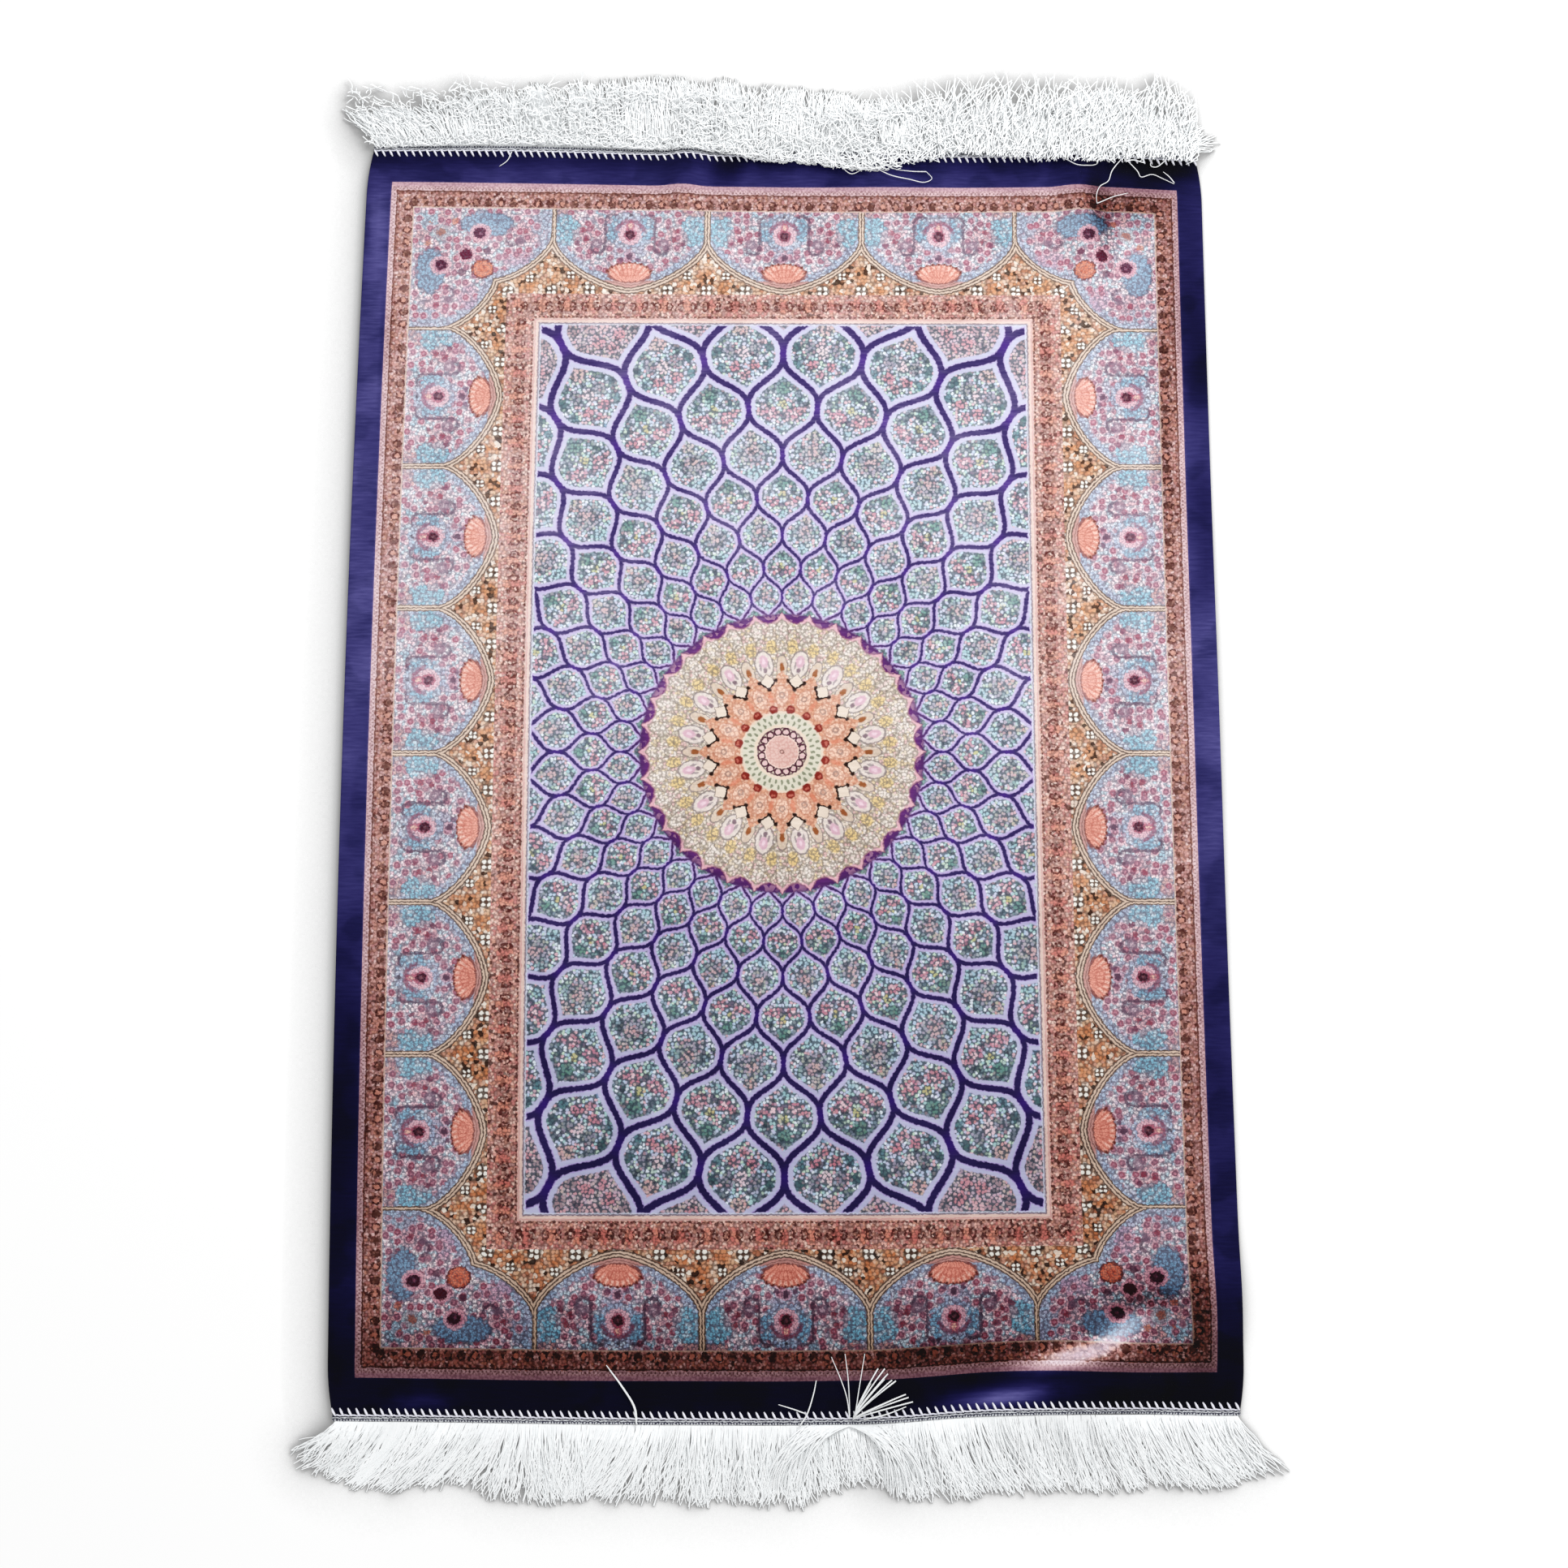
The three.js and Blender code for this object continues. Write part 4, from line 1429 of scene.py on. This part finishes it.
def strand_paths(end, locks, rng):
    """The strands of a fringe, as strand by point by xyz in millimetres."""
    count, loft, curl, clump = (locks[name] for name in ("count", "loft", "curl", "clump"))
    half = END_HALF - 2
    root = np.linspace(-half, half, count) + rng.normal(0, 0.5, count)
    root = np.clip(root, -half, half)
    lean = locks["fan"] * root / half + humps_at(locks["leans"], root)
    reach = locks["reach"] + humps_at(locks["reaches"], root)
    lean = lean + smooth_noise(rng, root, clump, UNEVEN["lock lean"]) + rng.normal(0, UNEVEN["lean"], count)
    reach = reach * (1 - 0.10 * rng.random(count) ** 2)
    reach = reach + smooth_noise(rng, root, clump, UNEVEN["lock reach"])
    reach = reach - UNEVEN["short"] * (rng.random(count) < UNEVEN["short share"]) * rng.random(count)
    loose = hump((half - np.abs(root)) / LOOSE_CORNER)
    lean = lean * (1 - 0.2 * loose) + 4 * loose * rng.normal(0, 1, count)
    reach = reach - 7 * loose * rng.random(count)
    lock = smooth_noise(rng, root, 2 * clump, 0.3)
    layer = np.clip(0.5 * rng.random(count) + 0.25 + lock, 0, 1)
    t = np.linspace(0, 1, STRAND_STEPS)[None, :]
    swing = t ** (1.15 + 0.5 * rng.random((count, 1)))
    x = root[:, None] + lean[:, None] * swing
    y_root = end_line(end, root)[:, None] + end * FRINGE_ROOT
    y = y_root + end * reach[:, None] * (t - 0.06 * t * t * np.abs(lean[:, None]) / 30)
    bends = 0
    for wave in (1.0, 2.3, 3.9):
        phase = rng.random((count, 1)) * math.tau
        size = curl * (0.4 + 0.6 * rng.random((count, 1))) / wave
        bends = bends + size * np.sin(t * wave * 4.2 + phase) * t
    x = x + bends
    phase = rng.random((count, 1)) * math.tau
    y = y + 0.45 * curl * np.sin(t * 5 + phase) * t
    rise = np.minimum(1, 4 * t) * (1 - t**2.2)
    ground = lift(root, end_line(end, root))[:, None] * (1 - t) ** 2
    z = ground + 1.1 * (1 - t) + 0.45 + layer[:, None] * loft * rise
    z = z + 0.25 * loft * np.abs(np.sin(t * 4 + phase)) * t * layer[:, None]
    return x, y, z


def make_fringe(end, locks, floss, extra=()):
    """A fringe of cut strands that stand out from the tape and come down to the floor."""
    rng = np.random.default_rng(locks["seed"])
    x, y, z = strand_paths(end, locks, rng)
    radii = STRAND_RADIUS * MM * (0.8 + 0.4 * rng.random((len(x), 1)))
    taper = np.clip(1.15 - 0.45 * np.linspace(0, 1, STRAND_STEPS) ** 3, 0, 1)[None, :]
    bundles = [tubes(metres(x, y, z), radii * taper, 3), *extra]
    points, faces = join_tubes(bundles)
    return piece_from(f"{end_name(end)}_fringe_floss", points, faces, [floss], smooth=False)


def smooth_path(points, steps):
    """A smooth curve through a few points, as a Catmull-Rom line."""
    points = np.array(points, float)
    padded = np.vstack([2 * points[0] - points[1], points, 2 * points[-1] - points[-2]])
    found = []
    for k in range(len(points) - 1):
        a, b, c, d = padded[k : k + 4]
        for t in np.arange(steps) / steps:
            line = 2 * b + (c - a) * t + (2 * a - 5 * b + 4 * c - d) * t**2
            found.append(0.5 * (line + (3 * b - a - 3 * c + d) * t**3))
    found.append(points[-1])
    return np.array(found)


# Stray ends of floss that lie over the cloth: x, y, and the height over the pile.
NEAR_STRAYS = table(
    "radius points",
    (0.38, [(41, -444, 1), (39, -430, 6), (35, -418, 5), (29, -404, 3)]),
    (0.38, [(41, -442, 1), (40, -420, 7), (38, -402, 4)]),
    (0.38, [(44, -444, 1), (47, -424, 7), (51, -402, 4)]),
    (0.38, [(45, -442, 1), (49, -431, 4), (55, -421, 3)]),
    (0.5, [(8, -448, 1), (13, -440, 3), (17, -428, 3), (19, -419, 2)]),
    (0.45, [(12, -440, 2), (4, -437, 3), (-6, -434, 2)]),
    (0.5, [(50, -444, 2), (64, -441, 3), (78, -436, 2)]),
    (0.55, [(-99, -447, 1), (-100, -436, 2), (-108, -423, 2), (-119, -409, 1)]),
    (0.45, [(-99, -447, 1), (-101, -435, 2), (-110, -421, 2), (-117, -412, 1)]),
)
FAR_STRAYS = table(
    "radius points",
    (0.37, [(244, 438, 2), (237, 429, 2), (234, 421, 2), (228, 417, 1), (225, 410, 1), (225, 403, 1)]),
    (0.37, [(225, 403, 1), (236, 408, 3), (248, 412, 1)]),
    (0.37, [(247, 438, 2), (255, 429, 2), (258, 424, 2), (266, 426, 2), (274, 423, 1), (282, 419, 1)]),
    (0.37, [(282, 420, 1), (278, 424, 3), (274, 428, 2)]),
    (0.37, [(277, 438, 2), (270, 432, 2), (265, 433, 2), (267, 439, 2)]),
    (0.37, [(197, 440, 2), (204, 436, 2), (211, 432, 2), (219, 432, 2), (226, 434, 2), (228, 441, 2)]),
    (0.37, [(64, 430, 2), (76, 424, 2), (90, 421, 2), (100, 419, 2), (106, 422, 2), (102, 427, 2)]),
    (0.37, [(102, 427, 2), (92, 427, 2), (80, 428, 2)]),
    (0.37, [(40, 431, 2), (48, 425, 2), (58, 430, 2)]),
    (0.37, [(-198, 441, 2), (-201, 435, 2), (-207, 431, 1)]),
)


def make_strays(end, rows, floss, extra=()):
    bundles = list(extra)
    for row in rows:
        path = smooth_path(row["points"], 6)
        x, y, over = path.T
        z = lift(x, y) + CLOTH["thickness"] + over * 0.8
        radius = row["radius"] * MM * (1 - 0.4 * np.linspace(0, 1, len(x)) ** 2)
        bundles.append(tubes(metres(x, y, z)[None], radius[None], 5))
    points, faces = join_tubes(bundles)
    return piece_from(f"{end_name(end)}_stray_threads", points, faces, [floss])


TUFT_ROOT = (43, -444)
PARTING = {"x": 42, "half": 26, "count": 190}  # where the near fringe's loose lock parts


def tuft(rng):
    """The flat hank that has come loose near the middle of the near end, fanned to the right."""
    count = 12
    steps = 9
    t = np.linspace(0, 1, steps)[None, :]
    fan = np.sort(rng.random(count))[:, None]
    tip_x = 60 + 20 * fan + rng.normal(0, 1.5, (count, 1))
    tip_y = -412 - 20 * fan**1.4 + rng.normal(0, 1.5, (count, 1))
    x = TUFT_ROOT[0] + (tip_x - TUFT_ROOT[0]) * t**1.15
    y = TUFT_ROOT[1] + (tip_y - TUFT_ROOT[1]) * t**0.9
    rise = 5 * np.sin(math.pi * t**0.8) * (0.4 + 0.6 * rng.random((count, 1)))
    z = lift(x, y) + CLOTH["thickness"] + 1 + rise
    return tubes(metres(x, y, z), np.full((count, steps), 0.5 * MM), 4)


def crown_strands(rng):
    """The near fringe's loose lock over the notch: strands that part to the left and right."""
    count = PARTING["count"]
    t = np.linspace(0, 1, STRAND_STEPS)[None, :]
    side = rng.random((count, 1)) * 2 - 1
    root = PARTING["x"] + PARTING["half"] * side + rng.normal(0, 2, (count, 1))
    tip_x = PARTING["x"] - 4 + np.sign(side) * PARTING["half"] * (1 + rng.random((count, 1)))
    tip_y = -(478 + 14 * rng.random((count, 1)))
    x = root + (tip_x - root) * np.sin(t * math.pi / 2) ** 1.1
    start = end_line(NEAR, root) - FRINGE_ROOT
    y = start + (tip_y - start) * t**1.5
    rise = 6.5 * np.sin(math.pi * np.clip(t, 0, 1)) ** 0.8 * (0.5 + 0.5 * rng.random((count, 1)))
    z = 1 + 2.0 * (1 - t) + rise
    return tubes(metres(x, y, z), np.full((count, STRAND_STEPS), STRAND_RADIUS * MM), 3)


# The fluff flops over the far end, down to this edge. From left to right it is thin, then thick, and
# then combed to the right.
FLUFF = {
    "count": 3800,
    "steps": 9,
    "radius": 0.4,
    "depth": 44,
    "thickens at": [-300, -70, -30],
    "combed from": [20, 130],
}
FLUFF_EDGE = 443
FLUFF_FLOPS = humps(
    ("left", -210, 170, 4),
    ("left of the middle", -18, 42, -6),
    ("middle", 58, 95, -16),
    ("right", 215, 160, -11.5),
    ("right corner", 303, 50, -6),
)


def fluff_strands(rng):
    """Tangled floss over the far fringe, its tape and the cloth's edge."""
    count = FLUFF["count"]
    steps = FLUFF["steps"]
    half = END_HALF - 3
    root = rng.uniform(-half, half, (count, 1))
    low = FLUFF_EDGE + humps_at(FLUFF_FLOPS, root)
    thick = np.interp(root, FLUFF["thickens at"], [0.35, 0.5, 1.0])
    t = np.linspace(0, 1, steps)[None, :]
    combed = np.interp(root, FLUFF["combed from"], [0, 0.85])
    heading = rng.uniform(0, math.tau, (count, 1))
    heading = heading + (rng.normal(1.0, 0.28, (count, 1)) - heading) * combed
    length = rng.uniform(9, 20, (count, 1)) * (0.5 + 0.5 * thick) * (1 + 0.8 * combed)
    bend = rng.normal(0, 1.6, (count, 1)) * (1 - 0.7 * combed)
    turn = heading + bend * t
    start_y = low + 1 + FLUFF["depth"] * rng.random((count, 1)) ** rng.choice([1.0, 3.5], (count, 1))
    x = root + length * np.cumsum(np.cos(turn), axis=1) / steps
    y = start_y + length * np.cumsum(np.sin(turn), axis=1) / steps
    floor_y = FLUFF_EDGE + humps_at(FLUFF_FLOPS, x)
    y = floor_y + np.abs(y - floor_y)
    top = 3.6 + 4.5 * thick * rng.random((count, 1))
    z = lift(x, np.minimum(y, FLUFF_EDGE)) + top + 1.2 * np.sin(t * 5 + heading)
    x = x - 20 * hump((root + half) / 60) * (y - floor_y) / 40
    x = np.clip(x, -half - 26, half + 4)
    return tubes(metres(x, y, z), np.full((count, steps), FLUFF["radius"] * MM), 3)


# ------------------------------------------------------------------ putting the rug together


def make_rug():
    floss = spin_floss("rayon_fringe_floss", "#fdfeff", "#f2f5f6")
    thread = spin_floss("polyester_overlock_thread", "#f6f6fc", "#e2e2f0", 0.5)
    cloth = make_cloth()
    tape_finish = weave_tape()
    rng = np.random.default_rng(7)
    pieces = {"pile_cloth": cloth}
    trims = []
    for end in (NEAR, FAR):
        tape = make_tape(end, tape_finish)
        pieces[f"{end_name(end)}_heading_tape"] = tape
        overlock = make_overlock(end, thread)
        trims += [tape, overlock]
    near_fringe = make_fringe(NEAR, NEAR_LOCKS, floss, [crown_strands(rng)])
    far_fringe = make_fringe(FAR, FAR_LOCKS, floss)
    fluff = piece_from("far_fringe_fluff", *fluff_strands(rng), [floss], smooth=False)
    near_strays = make_strays(NEAR, NEAR_STRAYS, floss, extra=[tuft(rng)])
    far_strays = make_strays(FAR, FAR_STRAYS, floss)
    trims += [near_fringe, far_fringe, near_strays, far_strays, fluff]
    pieces["near_fringe"] = near_fringe
    pieces["far_fringe"] = far_fringe
    for piece in [cloth, *trims]:
        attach(piece, "root")
    for node, piece in pieces.items():
        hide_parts(node)


# ------------------------------------------------------------------ floor, light and camera

SHADOW_REACH = 32  # the rug's soft shadow on the floor spreads this far
SHADOW_DEPTH = 7  # and is drawn deeper than a rug this thin throws, so that it shows,
SHADOW_SHADE = 0.4  # down to this share of the light
LIGHT_SIDE = (0.5, 0.25, 0.83)  # it falls away from the side that most light comes from
FLOOR_SIZE = 6.0
FLOOR_GLOW = 0.26  # lifts the floor to the white of the background, for the camera only


# Matt emulsion paint, rolled on. It has no gloss, so it shows the rug's soft shadow and nothing else.
def make_floor():
    """A plain pale floor that fades to the white background but keeps the rug's soft shadow."""
    mesh = bpy.data.meshes.new("floor")
    corners = ((-1, -1), (1, -1), (1, 1), (-1, 1))
    points = [(FLOOR_SIZE * x, FLOOR_SIZE * y, 0) for x, y in corners]
    mesh.from_pydata(points, [], [(0, 1, 2, 3)])
    floor = bpy.data.objects.new("floor", mesh)
    bpy.context.scene.collection.objects.link(floor)
    material = new_material("matt_white_floor_paint")
    tree = material.node_tree
    towards_light = add(tree, "CombineXYZ", dict(zip("XYZ", LIGHT_SIDE))).outputs[0]
    reach = {"Distance": SHADOW_REACH * MM, "Normal": towards_light}
    sky = add(tree, "AmbientOcclusion", reach, samples=16).outputs["AO"]
    lit = Field(tree, sky).work("POWER", SHADOW_DEPTH) * (1 - SHADOW_SHADE) + SHADOW_SHADE
    shaded = {0: dye("#dfdfdf")[:3], "Scale": lit}
    paint = add(tree, "VectorMath", shaded, operation="SCALE").outputs[0]
    paint = add(tree, "BsdfDiffuse", {"Color": paint})
    glow = {"Color": dye("#ffffff"), "Strength": seen_directly(tree) * lit * FLOOR_GLOW}
    glow = add(tree, "Emission", glow)
    both = add(tree, "AddShader", [paint.outputs[0], glow.outputs[0]])
    add(tree, "OutputMaterial", [both.outputs[0]])
    mesh.materials.append(material)


SKY = 0.8  # the overcast light, where 1 is the white that the camera sees behind the rug
WINDOW = {"energy": 30, "size": 1.1, "place": (1.1, 1.5, 1.7)}


def make_light():
    """A soft overcast room, with one broad window light from the far right."""
    world = bpy.data.worlds.new("soft_studio")
    bpy.context.scene.world = world
    world.use_nodes = True
    tree = world.node_tree
    tree.nodes.clear()
    strength = SKY + seen_directly(tree) * (1 - SKY)
    sky = add(tree, "Background", {"Color": dye("#ffffff"), "Strength": strength})
    add(tree, "OutputWorld", [sky.outputs[0]])
    window = bpy.data.lights.new("window", "AREA")
    window.energy = WINDOW["energy"]
    window.shape = "DISK"
    window.size = WINDOW["size"]
    lamp = bpy.data.objects.new("window", window)
    lamp.location = WINDOW["place"]
    aim = -np.array(lamp.location)
    lamp.rotation_euler = (
        math.atan2(math.hypot(aim[0], aim[1]), -aim[2]),
        0,
        math.atan2(aim[1], aim[0]) - math.pi / 2,
    )
    bpy.context.scene.collection.objects.link(lamp)


CAMERA = {
    "lens": 46.58,
    "place": (-0.01428, -0.24399, 1.38438),
    "turn": (0.15972, -0.00893, -0.00139),
}


def make_camera():
    """The camera looks down on the rug from over its near end."""
    data = bpy.data.cameras.new("camera")
    data.sensor_width = 36
    data.lens = CAMERA["lens"]
    camera = bpy.data.objects.new("camera", data)
    x, y, height = CAMERA["place"]
    camera.location = (ORIGIN_X + x, ORIGIN_Y + y, height)
    camera.rotation_euler = CAMERA["turn"]
    bpy.context.scene.collection.objects.link(camera)
    bpy.context.scene.camera = camera


bpy.context.scene.view_settings.view_transform = "Standard"
make_camera()
make_floor()
make_light()
make_rug()
